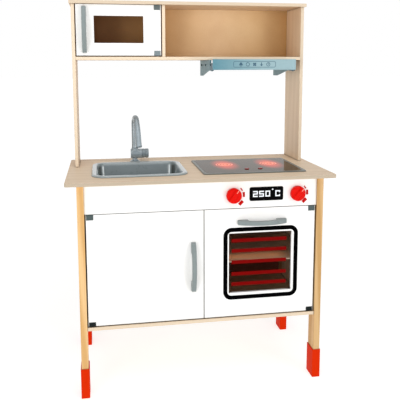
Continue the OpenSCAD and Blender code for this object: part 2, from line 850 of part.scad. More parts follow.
// Upright tube, swan neck and outlet; it swivels in the body's socket
module tap_spout() {
    color(sink_grey) translate([tap_x, tap_y, 0]) rotate([0, 0, spout_turn]) difference() {
        union() {
            rod_z([0, 0, tap_axis_z + 5], 6, spout_base_z - tap_axis_z);
            rod_z([0, 0, spout_base_z], spout_r + 0.7, 2);
            rod_z([0, 0, spout_base_z + 1], spout_r, bend_centre[1] - spout_base_z - 1);
            rotate([90, 0, -90]) {
                spout_bend(bend_centre, lean_start, bend_turn, bend_r);
                spout_bend(lean_centre, lean_end, lean_turn, lean_r);
                spout_band(bend_centre, 180, bend_r);
                spout_band(bend_centre, lean_start, bend_r);
                spout_band(lean_centre, lean_end, lean_r);
                outlet_rod(0, spout_r, outlet_l);
                outlet_rod(outlet_l - outlet_ring_l, spout_r + 0.6, outlet_ring_l);
            }
        }
        rotate([90, 0, -90]) outlet_rod(outlet_l - 12, spout_r - 2, 13);
    }
}

// A round knob on the end of the body that turns about X
module tap_lever() {
    groove_x = tap_lever_x + 8;
    color(sink_grey) difference() {
        union() {
            rod_x([tap_lever_x - 8, tap_y, tap_axis_z], spindle_r, 9);
            rod_x([tap_lever_x + 0.3, tap_y, tap_axis_z], tap_body_r - 0.5, tap_lever_l - 0.3);
        }
        difference() {
            rod_x([groove_x, tap_y, tap_axis_z], tap_body_r + 1, 2);
            rod_x([groove_x - 1, tap_y, tap_axis_z], tap_body_r - 2, 4);
        }
        for (turn = [0:30:330]) translate([groove_x + 2, tap_y, tap_axis_z])
            rotate([turn, 0, 0]) translate([0, tap_body_r, 0]) rod_x([0, 0, 0], 1.2, tap_lever_l);
    }
}

// Sink -------------------------------------------------------------------------

module sink_basin() {
    bowl_w = sink_w - 2 * sink_rim_w;
    bowl_d = sink_d - 2 * sink_rim_w;
    bowl_r = sink_r - sink_rim_w;
    color(sink_grey) difference() {
        union() {
            round_plate(sink_x, sink_y, sink_w, sink_d, sink_r, worktop_z, worktop_z + sink_rim_h);
            round_plate(sink_x, sink_y, bowl_w, bowl_d, bowl_r, worktop_z - sink_depth, worktop_z + 1);
        }
        round_plate(sink_x, sink_y, bowl_w - 2 * sink_wall, bowl_d - 2 * sink_wall, bowl_r - sink_wall,
            worktop_z - sink_depth + sink_wall, worktop_z + sink_rim_h + 1);
    }
}

// Hob --------------------------------------------------------------------------

// Rim and tub in one piece, with the battery box under the tub's floor
module hob_tray() {
    tub_w = hob_w - 2 * (hob_rim_w + tub_in);
    tub_d = hob_d - 2 * (hob_rim_w + tub_in);
    box_bottom = tub_bottom - battery_drop;
    color(handle_grey) difference() {
        union() {
            round_plate(hob_x, hob_y, hob_w, hob_d, 8, worktop_z, worktop_z + hob_rim_h);
            round_plate(hob_x, hob_y, tub_w, tub_d, 5, tub_bottom, worktop_z + 0.5);
            block([battery_x - box_l / 2 - 2, battery_y - box_w / 2 - 2, box_bottom],
                [battery_x + box_l / 2 + 2, battery_y + box_w / 2 + 2, tub_bottom + 1]);
        }
        round_plate(hob_x, hob_y, hob_w - 2 * hob_rim_w, hob_d - 2 * hob_rim_w, 6, glass_z, worktop_z + 9);
        round_plate(hob_x, hob_y, tub_w - 2 * tub_wall, tub_d - 2 * tub_wall, 3,
            tub_bottom + tub_wall, glass_z + 1);
        block([battery_x - box_l / 2, battery_y - box_w / 2, box_bottom - 1],
            [battery_x + box_l / 2, battery_y + box_w / 2, tub_bottom - 2]);
    }
}

module hob_glass() {
    color([0.45, 0.48, 0.50]) difference() {
        round_plate(hob_x, hob_y, hob_w - 2 * hob_rim_w - 0.4, hob_d - 2 * hob_rim_w - 0.4, 5.8,
            glass_z, glass_z + glass_t);
        for (x = button_x) rod_z([x, button_y, glass_z - 1], button_r + 0.3, glass_t + 2);
    }
}

// Lit rings on the glass: a disc and two broken rings at each burner
burner_rings = [[0, 7, 0], [12, 17.5, 35], [21.5, 26, 215]];
module burner_lights() {
    gap_w = 9;
    color([0.95, 0.45, 0.38]) for (x = burner_x, ring = burner_rings)
        translate([x, burner_y, glass_z + glass_t]) linear_extrude(print_t) rotate(ring[2]) difference() {
            circle(ring[1]);
            if (ring[0] > 0) {
                circle(ring[0]);
                translate([0, -gap_w / 2]) square([ring[1] + 1, gap_w]);
            }
        }
}

// A push button held under the glass by its flange
module hob_button(x) {
    color(dark_red) {
        rod_z([x, button_y, glass_z - 1], button_r, glass_t + 3);
        rod_z([x, button_y, glass_z - 1.6], button_r + 1.6, 1.2);
        rod_z([x, button_y, glass_z - 7.5], 2.5, 7);
    }
}
module hob_button_left() { hob_button(button_x[0]); }
module hob_button_right() { hob_button(button_x[1]); }

// Circuit board on four posts, with a light cluster for each burner and a switch for each button
module light_board() {
    board_w = 200;
    board_d = 130;
    board_y = -35;
    color([0.1, 0.4, 0.2]) {
        block([hob_x - board_w / 2, board_y - board_d / 2, board_z],
            [hob_x + board_w / 2, board_y + board_d / 2, board_z + 1.6]);
        for (sx = [-1, 1], sy = [-1, 1])
            rod_z([hob_x + sx * (board_w / 2 - 6), board_y + sy * (board_d / 2 - 6), tub_bottom + tub_wall],
                3, board_z - tub_bottom - tub_wall + 1);
        for (x = button_x) block([x - 3, button_y - 3, board_z + 1], [x + 3, button_y + 3, glass_z - 9.3]);
        for (x = burner_x, turn = [0:90:270]) translate([x, burner_y, board_z + 1]) rotate([0, 0, turn])
            rod_z([10, 0, 0], 2.5, 6);
    }
}

module battery_cover() {
    box_bottom = tub_bottom - battery_drop;
    color(handle_grey) difference() {
        block([battery_x - box_l / 2 + 0.2, battery_y - box_w / 2 + 0.2, box_bottom],
            [battery_x + box_l / 2 - 0.2, battery_y + box_w / 2 - 0.2, box_bottom + 2]);
        for (i = [-2:2]) translate([battery_x + 18, battery_y + 5 * i, box_bottom - 1])
            block([-6, -1, 0], [6, 1, 1.8]);
    }
}

module batteries() {
    mid_z = tub_bottom - battery_drop + 2.4 + battery_r;
    color([0.2, 0.3, 0.35]) for (i = [-1:1]) {
        rod_x([battery_x - battery_l / 2, battery_y + i * battery_pitch, mid_z], battery_r, battery_l - 1.5);
        rod_x([battery_x + battery_l / 2 - 2, battery_y + i * battery_pitch, mid_z], 2.7, 2);
    }
}

// Wood screws that hold the boards, legs, feet and hood together
module frame_screws() {
    color(zinc) for (s = frame_screw_list) translate(s[0]) rotate(s[1]) wood_screw(s[2]);
}

worktop();
leg_front_left();
leg_front_right();
leg_back_left();
leg_back_right();
foot_front_left();
foot_front_right();
foot_back_left();
foot_back_right();
side_panel_left();
side_panel_right();
base_board();
cabinet_divider();
cabinet_back();
control_panel();
oven_shelf();
display_plate();
display_digits();
heat_marks();
knob_left();
knob_right();
knob_screw_left();
knob_screw_right();
cupboard_door();
cupboard_handle();
cupboard_hinge_clips();
cupboard_door_screws();
oven_door();
oven_handle();
oven_hinge_clips();
oven_door_screws();
oven_pane();
oven_pane_stripes();
oven_frame_print();
microwave_door();
microwave_handle();
microwave_hinge_clips();
microwave_door_screws();
upper_panel_left();
upper_panel_right();
top_board();
upper_shelf();
upper_divider();
upper_back();
hood_front();
hood_brackets();
tap_body();
tap_nut();
tap_spout();
tap_lever();
sink_basin();
hob_tray();
hob_glass();
burner_lights();
hob_button_left();
hob_button_right();
light_board();
battery_cover();
batteries();
frame_screws();
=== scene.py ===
"""Looks of the toy kitchen: materials for the CAD pieces, and finer meshes for the moulded ones."""
import json
import math

import bmesh
import bpy
from mathutils import Matrix, Vector


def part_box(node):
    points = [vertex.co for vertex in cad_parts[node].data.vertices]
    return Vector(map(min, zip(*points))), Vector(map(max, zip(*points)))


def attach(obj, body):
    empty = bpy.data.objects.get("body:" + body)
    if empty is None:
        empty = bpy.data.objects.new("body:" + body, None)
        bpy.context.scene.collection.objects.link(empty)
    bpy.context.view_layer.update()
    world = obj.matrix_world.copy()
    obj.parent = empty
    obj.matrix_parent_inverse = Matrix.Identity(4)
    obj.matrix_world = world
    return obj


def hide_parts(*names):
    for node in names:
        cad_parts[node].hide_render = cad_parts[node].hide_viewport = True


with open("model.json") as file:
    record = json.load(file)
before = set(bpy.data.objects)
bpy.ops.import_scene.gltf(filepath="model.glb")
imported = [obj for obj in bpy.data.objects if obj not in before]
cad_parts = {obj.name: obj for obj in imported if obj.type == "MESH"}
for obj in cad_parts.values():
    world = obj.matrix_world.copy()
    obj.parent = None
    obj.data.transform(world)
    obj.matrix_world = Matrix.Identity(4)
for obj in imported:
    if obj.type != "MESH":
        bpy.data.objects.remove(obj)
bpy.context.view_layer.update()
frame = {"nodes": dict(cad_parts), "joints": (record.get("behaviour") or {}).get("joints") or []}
scene = bpy.context.scene
MM = 0.001


# ---- Colours -----------------------------------------------------------------

def tone(red, green, blue, alpha=1.0):
    """A colour given as on a screen, 0 to 255, as the linear values that shaders use."""
    def linear(v):
        v /= 255.0
        return v / 12.92 if v <= 0.04045 else ((v + 0.055) / 1.055) ** 2.4
    return (linear(red), linear(green), linear(blue), alpha)


BIRCH_LIGHT = tone(226, 201, 172)
BIRCH_DARK = tone(212, 184, 152)
BIRCH_EDGE = tone(236, 217, 191)
BIRCH_PAINTED_LIGHT = tone(255, 234, 206)
PINE_LIGHT = tone(236, 196, 140)
PINE_DARK = tone(214, 168, 106)
BOARD_BROWN = tone(248, 214, 170)
BOARD_BROWN_DARK = tone(230, 190, 144)
BOARD_SHADE = tone(34, 14, 6)
BOARD_RED_SHADE = tone(104, 3, 4)
WHITE = tone(246, 246, 245)
ORANGE_RED = tone(216, 44, 4)
KNOB_RED = tone(226, 18, 8)
HANDLE_GREY = tone(130, 140, 140)
TAP_GREY = tone(153, 167, 175)
TAP_TOP_SHADE = tone(130, 142, 148)
TAP_LEVER_SHADE = tone(132, 145, 152)
SINK_GREY = tone(119, 132, 136)
SINK_WALL_SHADE = tone(52, 62, 60)
SINK_GLINT = tone(236, 244, 245)
SINK_RIM_LIT = tone(156, 168, 171)
RIM_GREY = tone(106, 111, 108)
CLIP_SHADED_BLACK = tone(4, 4, 4)
CLIP_LIT_AND_RUBBED = tone(84, 96, 96)
CLIP_GREY = tone(116, 130, 134)
CLIP_TOP_SHADE = tone(72, 84, 82)
HOOD_BLUE = tone(80, 134, 149)
HOOD_PALE = tone(146, 175, 181)
BRACKET_FRONT_SHADE = tone(38, 84, 102)
BRACKET_GREY = tone(86, 122, 129)
PRINT_RED = tone(188, 10, 8)
STRIPE_RED = tone(122, 6, 4)
PRINT_BLACK = tone(4, 4, 5)
DIGIT_WHITE = tone(232, 238, 244)
PANE_TINT = tone(60, 20, 14)
GLASS_REFLECTION_BROWN = tone(74, 52, 20)
ZINC_PALE = tone(196, 198, 204)
ZINC_DARK = tone(160, 162, 170)
GLOW = tone(255, 66, 34)
COIL_PINK = tone(255, 150, 122)
BLACK = (0, 0, 0, 1)
PORE_BROWN = (0.1, 0.05, 0.02, 1)
# the colour of painted shade in narrow recesses
RECESS_SHADE_BLACK = (0.004, 0.005, 0.006, 1)


# ---- Shader building -----------------------------------------------------------

def new_material(name, **values):
    """A material with its principled shader; values set sockets by name, with _ for a space."""
    mat = bpy.data.materials.new(name)
    mat.use_nodes = True
    shader = mat.node_tree.nodes["Principled BSDF"]
    for socket, value in values.items():
        shader.inputs[socket.replace("_", " ")].default_value = value
    return mat, mat.node_tree, shader


def add(tree, kind, inputs=None, **settings):
    """A node of the given kind; each input is a socket to link or a plain value."""
    node = tree.nodes.new(kind)
    for key, value in settings.items():
        setattr(node, key, value)
    for socket, value in (inputs or {}).items():
        if isinstance(value, bpy.types.NodeSocket):
            tree.links.new(value, node.inputs[socket])
        else:
            node.inputs[socket].default_value = value
    return node


def ramp(tree, factor, stops):
    """A colour ramp node with the given (position, colour) stops."""
    node = add(tree, "ShaderNodeValToRGB", {0: factor})
    elements = node.color_ramp.elements
    while len(elements) < len(stops):
        elements.new(0.5)
    for element, (position, colour) in zip(elements, stops):
        element.position = position
        element.color = colour
    return node.outputs["Color"]


def mix(tree, factor, first, second, blend="MIX"):
    node = add(tree, "ShaderNodeMix", {0: factor, 6: first, 7: second}, data_type="RGBA", blend_type=blend)
    return node.outputs[2]


def maths(tree, operation, first, second=0.0, clamp=False):
    node = add(tree, "ShaderNodeMath", {0: first, 1: second}, operation=operation, use_clamp=clamp)
    return node.outputs[0]


def noise(tree, vector, scale, detail=4.0, rough=0.55, distortion=0.0):
    node = add(tree, "ShaderNodeTexNoise", {
        "Vector": vector, "Scale": scale, "Detail": detail, "Roughness": rough, "Distortion": distortion})
    return node.outputs["Fac"]


def map_range(tree, factor, start, end, low, high, **settings):
    """Maps start..end to low..high, held at both ends."""
    node = add(tree, "ShaderNodeMapRange", {0: factor, 1: start, 2: end, 3: low, 4: high}, **settings)
    return node.outputs[0]


def spread(tree, factor, low, high):
    """Maps a noise's middle range to low..high."""
    return map_range(tree, factor, 0.3, 0.7, low, high)


def feed(tree, shader, socket, value):
    """Links a node's output to one of the shader's inputs."""
    tree.links.new(value, shader.inputs[socket])


def bump(tree, shader, height, strength, distance):
    node = add(tree, "ShaderNodeBump", {"Height": height, "Strength": strength, "Distance": distance})
    feed(tree, shader, "Normal", node.outputs["Normal"])


def object_coords(tree, scale=(1, 1, 1), offset=(0, 0, 0)):
    coords = add(tree, "ShaderNodeTexCoord")
    mapped = add(tree, "ShaderNodeMapping", {
        "Vector": coords.outputs["Object"], "Location": offset, "Scale": scale})
    return mapped.outputs["Vector"]


AXES = "XYZ"


def component(tree, vector, axis):
    """One component of a vector, by its axis letter."""
    return add(tree, "ShaderNodeSeparateXYZ", {0: vector}).outputs[AXES.index(axis)]


def normal_component(tree, axis):
    """One component of the piece's own surface normal."""
    return component(tree, add(tree, "ShaderNodeTexCoord").outputs["Normal"], axis)


def wood(name, grain, face, light, dark, edge, seed=0.0, rings=0.35, rough=0.45):
    """Wood with its grain along one axis and its broad faces square to another.

    edge is the colour of a layered board's edges, or None for solid wood; rings is how strongly
    the growth rings show.
    """
    mat, tree, shader = new_material(name, Specular_IOR_Level=0.25)
    offset = (seed * 1.7, seed * 2.9, seed * 0.6)
    stretch = [1.0 if a == grain else 14.0 for a in AXES]
    fine = [6.0 if a == grain else 420.0 for a in AXES]
    wide = object_coords(tree, stretch, offset)
    figure = noise(tree, wide, 2.2, 5.0, 0.55, 0.6)
    bands = add(tree, "ShaderNodeTexWave", {
        "Vector": wide, "Scale": 1.1, "Distortion": 5.0, "Detail": 3.0, "Detail Scale": 1.4},
        wave_type="BANDS", bands_direction="DIAGONAL").outputs["Fac"]
    pores = noise(tree, object_coords(tree, fine, offset), 1.0, 3.0, 0.6)
    figure = maths(tree, "MULTIPLY", figure, 1.0 - rings)
    blend = maths(tree, "ADD", figure, maths(tree, "MULTIPLY", bands, rings))
    colour = ramp(tree, blend, [(0.28, light), (0.5, mix_tone(light, dark, 0.4)), (0.75, dark)])
    streaks = spread(tree, pores, 0.0, 0.22)
    colour = mix(tree, streaks, colour, mix_tone(dark, PORE_BROWN, 0.25))
    if edge is not None:
        facing = maths(tree, "ABSOLUTE", normal_component(tree, face))
        rim = maths(tree, "SUBTRACT", 1.0, facing, True)
        layer_scale = [1600.0 if a == face else 8.0 for a in AXES]
        layers = noise(tree, object_coords(tree, layer_scale, offset), 1.0, 2.0)
        edge_colour = mix(tree, spread(tree, layers, 0.0, 0.35), edge, mix_tone(edge, dark, 0.5))
        colour = mix(tree, rim, colour, edge_colour)
    # painted shade darkens the wood in narrow recesses
    feed(tree, shader, "Base Color", painted_recess_shade(tree, colour, 7 * MM, 0.6))
    feed(tree, shader, "Roughness", spread(tree, pores, rough - 0.06, rough + 0.12))
    bump(tree, shader, pores, 0.25, 0.15 * MM)
    return mat


def mix_tone(first, second, share):
    """A colour between two others."""
    return tuple(a * (1 - share) + b * share for a, b in zip(first, second))


def painted_recess_shade(tree, base, reach, share):
    """The base colour with painted shade, darkened by a share where the surface lies in a narrow recess."""
    open_sky = add(tree, "ShaderNodeAmbientOcclusion", {"Distance": reach}, samples=8).outputs["AO"]
    dark = map_range(tree, open_sky, 0.35, 0.85, share, 0.0)
    return mix(tree, dark, base, RECESS_SHADE_BLACK)


def plastic(name, colour, rough=0.4, vary=0.08, worn=None, specular=0.35, coat=0.0, fade=None, shade_in_recesses=0.0):
    """Moulded plastic: fine surface grain, slow colour drift and paler rubbed edges.

    fade is (second colour, axis, where it starts, where it is complete); the last argument is how
    dark the painted shade in narrow recesses gets.
    """
    mat, tree, shader = new_material(
        name, Specular_IOR_Level=specular, Coat_Weight=coat, Coat_Roughness=0.12)
    coords = object_coords(tree)
    base = colour
    if fade:
        second, axis, start, end = fade
        along = map_range(tree, component(tree, coords, axis), start, end, 0.0, 1.0)
        base = mix(tree, along, colour, second)
    drift = noise(tree, coords, 22.0, 3.0)
    base = mix(tree, spread(tree, drift, 0.0, vary), base, BLACK)
    corners = add(tree, "ShaderNodeNewGeometry").outputs["Pointiness"]
    rub = map_range(tree, corners, 0.52, 0.62, 0.0, 0.3)
    base = mix(tree, rub, base, worn or mix_tone(colour, (1, 1, 1, 1), 0.2))
    # painted shade in narrow recesses
    if shade_in_recesses:
        base = painted_recess_shade(tree, base, 5 * MM, shade_in_recesses)
    feed(tree, shader, "Base Color", base)
    speck = noise(tree, coords, 2600.0, 2.0)
    smears = noise(tree, coords, 90.0, 4.0)
    feed(tree, shader, "Roughness", spread(tree, smears, rough - 0.05, rough + 0.07))
    bump(tree, shader, speck, 0.35, 0.02 * MM)
    return mat


def lacquer(name, colour):
    """White lacquered board: faint orange peel, a slightly warmer drift and painted shade on its edges in the
    gaps.
    """
    mat, tree, shader = new_material(name, Specular_IOR_Level=0.3)
    coords = object_coords(tree)
    warm = mix_tone(colour, tone(236, 232, 224), 0.6)
    base = mix(tree, spread(tree, noise(tree, coords, 7.0, 4.0), 0.0, 0.5), colour, warm)
    # painted shade: sideways-facing edges are darkened where they lie in narrow gaps
    edge = maths(tree, "LESS_THAN", maths(tree, "ABSOLUTE", normal_component(tree, "Y")), 0.5)
    base = mix(tree, edge, base, painted_recess_shade(tree, base, 14 * MM, 0.97))
    feed(tree, shader, "Base Color", base)
    feed(tree, shader, "Roughness", spread(tree, noise(tree, coords, 140.0, 3.0), 0.3, 0.42))
    bump(tree, shader, noise(tree, coords, 520.0, 2.0), 0.3, 0.03 * MM)
    return mat


def fibre_board(name, light, dark, shade, left_of=None, painted_lights=()):
    """Brown pressed fibre board; its front face is darkened with painted shade, all over or left of an X.

    The last argument lists (X, colour) places along the board whose colours multiply the front face as
    painted light and shade.
    """
    mat, tree, shader = new_material(name, Specular_IOR_Level=0.25)
    coords = object_coords(tree)
    fibres = noise(tree, object_coords(tree, (1, 1, 2.5)), 700.0, 5.0, 0.7)
    clouds = noise(tree, coords, 12.0, 4.0)
    share = maths(tree, "ADD", maths(tree, "MULTIPLY", fibres, 0.6), maths(tree, "MULTIPLY", clouds, 0.4))
    colour = ramp(tree, share, [(0.35, light), (0.65, dark)])
    front = maths(tree, "LESS_THAN", normal_component(tree, "Y"), -0.5)
    across = component(tree, coords, "X")
    # painted shade: the front face is darkened all over, or left of an X and more deeply further left
    if left_of is None:
        painted_shade = maths(tree, "MULTIPLY", front, 0.9)
    else:
        depth = map_range(tree, across, left_of - 0.22, left_of - 0.05, 0.68, 0.48)
        painted_shade = maths(tree, "MULTIPLY", maths(tree, "LESS_THAN", across, left_of), depth)
        painted_shade = maths(tree, "MULTIPLY", painted_shade, front)
    colour = mix(tree, painted_shade, colour, shade)
    # painted light and shade: colours placed along X multiply the front face
    if painted_lights:
        first, last = painted_lights[0][0], painted_lights[-1][0]
        place = map_range(tree, across, first, last, 0.0, 1.0)
        painted_light_shade = ramp(tree, place, [((x - first) / (last - first), light_shade_there) for x, light_shade_there in painted_lights])
        colour = mix(tree, front, colour, mix(tree, 1.0, colour, painted_light_shade, "MULTIPLY"))
    feed(tree, shader, "Base Color", colour)
    feed(tree, shader, "Roughness", spread(tree, fibres, 0.5, 0.7))
    bump(tree, shader, fibres, 0.3, 0.1 * MM)
    return mat


def zinc(name):
    """Zinc-plated steel, slightly cloudy and finely marked."""
    mat, tree, shader = new_material(name, Metallic=1.0)
    coords = object_coords(tree)
    cloud = noise(tree, coords, 160.0, 4.0)
    feed(tree, shader, "Base Color", ramp(tree, cloud, [(0.3, ZINC_PALE), (0.7, ZINC_DARK)]))
    feed(tree, shader, "Roughness", spread(tree, cloud, 0.28, 0.42))
    bump(tree, shader, noise(tree, coords, 3800.0, 2.0), 0.25, 0.03 * MM)
    return mat


def ink(name, colour, rough=0.35, glow=0.0, specular=0.15):
    """Printed ink with a slightly uneven coverage."""
    mat, tree, shader = new_material(
        name, Specular_IOR_Level=specular, Emission_Strength=glow, Emission_Color=colour)
    coords = object_coords(tree)
    cover = noise(tree, coords, 900.0, 3.0)
    base = mix(tree, spread(tree, cover, 0.0, 0.25), colour, mix_tone(colour, BLACK, 0.35))
    feed(tree, shader, "Base Color", base)
    feed(tree, shader, "Roughness", spread(tree, cover, rough - 0.05, rough + 0.1))
    bump(tree, shader, cover, 0.2, 0.02 * MM)
    return mat


def tinted_pane(name):
    """Thin clear plastic sheet with a brown tint and faint smears."""
    mat, tree, shader = new_material(name, Alpha=0.05, Specular_IOR_Level=0.1)
    coords = object_coords(tree)
    smear = noise(tree, coords, 16.0, 5.0, 0.6, 1.0)
    base = mix(tree, spread(tree, smear, 0.0, 1.0), PANE_TINT, mix_tone(PANE_TINT, BLACK, 0.4))
    feed(tree, shader, "Base Color", base)
    feed(tree, shader, "Roughness", spread(tree, smear, 0.08, 0.2))
    bump(tree, shader, smear, 0.1, 0.05 * MM)
    return mat


HALO_SHAPE = (1.05, 0.48, 1.0)  # how fast a burner's halo fades along X, Y and Z
HALO_START, HALO_END = 0.3, 1.8  # where it starts and stops fading, in burner radii
HALO_STRENGTH = 0.56


def hob_plate(name, burners, radius):
    """Dark gloss plate with a brown base colour that is a painted reflection of the wood around it; it lets
    the light of burners of one radius glow softly through it.
    """
    mat, tree, shader = new_material(name, IOR=1.13, Emission_Color=GLOW)
    coords = object_coords(tree)
    cloud = noise(tree, coords, 60.0, 4.0)
    base = mix(tree, spread(tree, cloud, 0.0, 1.0), GLASS_REFLECTION_BROWN, mix_tone(GLASS_REFLECTION_BROWN, BLACK, 0.35))
    feed(tree, shader, "Base Color", base)
    feed(tree, shader, "Roughness", spread(tree, cloud, 0.04, 0.08))
    total = None
    for centre in burners:
        offset = add(tree, "ShaderNodeVectorMath", {0: coords, 1: centre}, operation="SUBTRACT").outputs[0]
        oval = add(tree, "ShaderNodeVectorMath", {0: offset, 1: HALO_SHAPE}, operation="MULTIPLY").outputs[0]
        away = add(tree, "ShaderNodeVectorMath", {0: oval}, operation="LENGTH").outputs["Value"]
        halo = map_range(tree, away, HALO_START * radius, HALO_END * radius, HALO_STRENGTH, 0.0,
                         interpolation_type="SMOOTHSTEP")
        total = halo if total is None else maths(tree, "ADD", total, halo)
    feed(tree, shader, "Emission Strength", total)
    bump(tree, shader, noise(tree, coords, 300.0, 2.0), 0.1, 0.01 * MM)
    return mat


def burner_light(name):
    """Lit coil that glows unevenly along its turns."""
    mat, tree, shader = new_material(
        name, Emission_Color=COIL_PINK, Roughness=0.4, Base_Color=tone(120, 30, 20))
    patch = noise(tree, object_coords(tree), 120.0, 3.0)
    feed(tree, shader, "Emission Strength", spread(tree, patch, 0.6, 1.0))
    bump(tree, shader, patch, 0.1, 0.05 * MM)
    return mat


# ---- Mesh building -------------------------------------------------------------

def piece(name, verts, faces, mat, body, stands_for=(), sharp=40.0):
    """A closed mesh that rides on a body and stands for CAD nodes."""
    mesh = bpy.data.meshes.new(name)
    mesh.from_pydata([tuple(v) for v in verts], [], faces)
    work = bmesh.new()
    work.from_mesh(mesh)
    bmesh.ops.remove_doubles(work, verts=work.verts, dist=1e-7)
    bmesh.ops.recalc_face_normals(work, faces=work.faces)
    work.to_mesh(mesh)
    work.free()
    mesh.shade_smooth()
    mesh.set_sharp_from_angle(angle=math.radians(sharp))
    made = bpy.data.objects.new(name, mesh)
    scene.collection.objects.link(made)
    made.data.materials.append(mat)
    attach(made, body)
    if stands_for:
        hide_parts(*stands_for)
    return made


def loft(rings):
    """Vertices and faces of a closed skin over equal rings of points."""
    count = len(rings[0])
    verts = [p for ring in rings for p in ring]
    faces = []
    for i in range(len(rings) - 1):
        for j in range(count):
            k = (j + 1) % count
            faces.append((i * count + j, i * count + k, (i + 1) * count + k, (i + 1) * count + j))
    faces.append(tuple(reversed(range(count))))
    last = (len(rings) - 1) * count
    faces.append(tuple(range(last, last + count)))
    return verts, faces


def join(parts):
    """Several (verts, faces) pairs as one."""
    verts, faces = [], []
    for part_verts, part_faces in parts:
        start = len(verts)
        verts += part_verts
        faces += [tuple(i + start for i in face) for face in part_faces]
    return verts, faces


def round_ring(width, depth, radius, steps=8):
    """A rectangle with round corners about the origin, as flat points."""
    points = []
    radius = max(min(radius, width / 2 - 1e-6, depth / 2 - 1e-6), 1e-6)
    for corner, (sx, sy) in enumerate([(1, 1), (-1, 1), (-1, -1), (1, -1)]):
        for i in range(steps + 1):
            a = math.pi / 2 * (corner + i / steps)
            points.append((sx * (width / 2 - radius) + radius * math.cos(a),
                           sy * (depth / 2 - radius) + radius * math.sin(a)))
    return points


def circle_ring(radius, steps=48):
    return [(radius * math.cos(2 * math.pi * i / steps), radius * math.sin(2 * math.pi * i / steps))
            for i in range(steps)]


def turned(profile, steps=64):
    """A solid of revolution about Z from (radius, height) points, both ends on the axis or closed flat."""
    return loft([[(x, y, h) for x, y in circle_ring(max(r, 1e-6), steps)] for r, h in profile])


def filleted(profile, radius, steps=4):
    """The same (radius, height) outline with its inner corners rounded."""
    points = [Vector(p) for p in profile]
    out = [points[0]]
    for before, corner, after in zip(points, points[1:], points[2:]):
        a, b = before - corner, after - corner
        r = min(radius, a.length * 0.49, b.length * 0.49)
        start, end = corner + a.normalized() * r, corner + b.normalized() * r
        for i in range(steps + 1):
            t = i / steps
            out.append((1 - t) ** 2 * start + 2 * t * (1 - t) * corner + t * t * end)
    out.append(points[-1])
    return [tuple(p) for p in out]


def soft_loop(corners, radius, steps=4):
    """A closed outline of flat points with its corners rounded."""
    points = filleted([corners[-1]] + list(corners) + [corners[0]], radius, steps)
    return points[1:-1]


def moved(part, matrix):
    verts, faces = part
    return [matrix @ Vector(v) for v in verts], faces


def moulded(name, parts, mat, body, stands_for, voxel, smooth):
    """Parts fused into one skin with soft inner and outer corners."""
    verts, faces = join(parts)
    raw = piece(name + "_raw", verts, faces, mat, body)
    remesh = raw.modifiers.new("fuse", "REMESH")
    remesh.mode = "VOXEL"
    remesh.voxel_size = voxel
    soften = raw.modifiers.new("soften", "SMOOTH")
    soften.factor = 0.5
    soften.iterations = smooth
    evaluated = raw.evaluated_get(bpy.context.evaluated_depsgraph_get())
    mesh = bpy.data.meshes.new_from_object(evaluated)
    bpy.data.objects.remove(raw)
    mesh.name = name
    mesh.shade_smooth()
    made = bpy.data.objects.new(name, mesh)
    scene.collection.objects.link(made)
    if not mesh.materials:
        mesh.materials.append(mat)
    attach(made, body)
    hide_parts(*stands_for)


def flat_shape(name, loops, y, thickness, mat, body):
    """A thin print forward of the plane at y, from closed loops of (x, z) points; inner loops are holes."""
    curve = bpy.data.curves.new(name + "_outline", "CURVE")
    curve.dimensions = "2D"
    curve.fill_mode = "BOTH"
    curve.extrude = thickness / 2
    for loop in loops:
        spline = curve.splines.new("POLY")
        spline.points.add(len(loop) - 1)
        for point, (x, z) in zip(spline.points, loop):
            point.co = (x, z, 0, 1)
        spline.use_cyclic_u = True
    outline = bpy.data.objects.new(name + "_outline", curve)
    scene.collection.objects.link(outline)
    mesh = bpy.data.meshes.new_from_object(outline.evaluated_get(bpy.context.evaluated_depsgraph_get()))
    bpy.data.objects.remove(outline)
    verts = [(v.co.x, y - thickness / 2 - v.co.z, v.co.y) for v in mesh.vertices]
    faces = [tuple(p.vertices) for p in mesh.polygons]
    piece(name, verts, faces, mat, body, (), 30.0)


# ---- Softened CAD pieces ---------------------------------------------------------

SHARP = math.radians(40)  # faces that meet at more than this get a rounded edge between them
COPLANAR = math.radians(0.5)


def mark_long_edges(mesh, shortest):
    """Gives every sharp edge longer than shortest a bevel weight, so that hole rims keep none."""
    def key(edge):
        ends = [tuple(round(c * 1e5) for c in mesh.vertices[v].co) for v in edge]
        return tuple(sorted(ends))
    normals = {}
    for face in mesh.polygons:
        for edge in face.edge_keys:
            normals.setdefault(key(edge), []).append(face.normal.copy())
    weights = mesh.attributes.new("bevel_weight_edge", "FLOAT", "EDGE")
    for edge in mesh.edges:
        a, b = (mesh.vertices[v].co for v in edge.vertices)
        sides = normals[key(edge.vertices)]
        sharp = len(sides) == 2 and sides[0].angle(sides[1], 0.0) > SHARP
        weights.data[edge.index].value = 1.0 if sharp and (a - b).length > shortest else 0.0


def soften_edges(name, width, segments=2, flat=False):
    """Rounds a CAD piece's sharp edges without touching its own shape; flat is for plain boards."""
    node = frame["nodes"][name]
    mesh = node.data
    if "custom_normal" in mesh.attributes:
        mesh.attributes.remove(mesh.attributes["custom_normal"])
    if flat:
        mesh.shade_flat()
        mark_long_edges(mesh, 1 * MM)
    else:
        mesh.shade_smooth()
    weld = node.modifiers.new("weld", "WELD")
    weld.merge_threshold = 1e-6
    merge = node.modifiers.new("merge", "DECIMATE")
    merge.decimate_type = "DISSOLVE"
    merge.angle_limit = COPLANAR
    bevel = node.modifiers.new("round", "BEVEL")
    bevel.width = width
    bevel.segments = segments
    bevel.limit_method = "WEIGHT" if flat else "ANGLE"
    bevel.angle_limit = SHARP
    bevel.use_clamp_overlap = False
    bevel.miter_outer = "MITER_ARC"
    bevel.harden_normals = not flat


def paint(names, mat):
    for name in names:
        mesh = frame["nodes"][name].data
        mesh.materials.clear()
        mesh.materials.append(mat)


# ---- Boards ----------------------------------------------------------------------

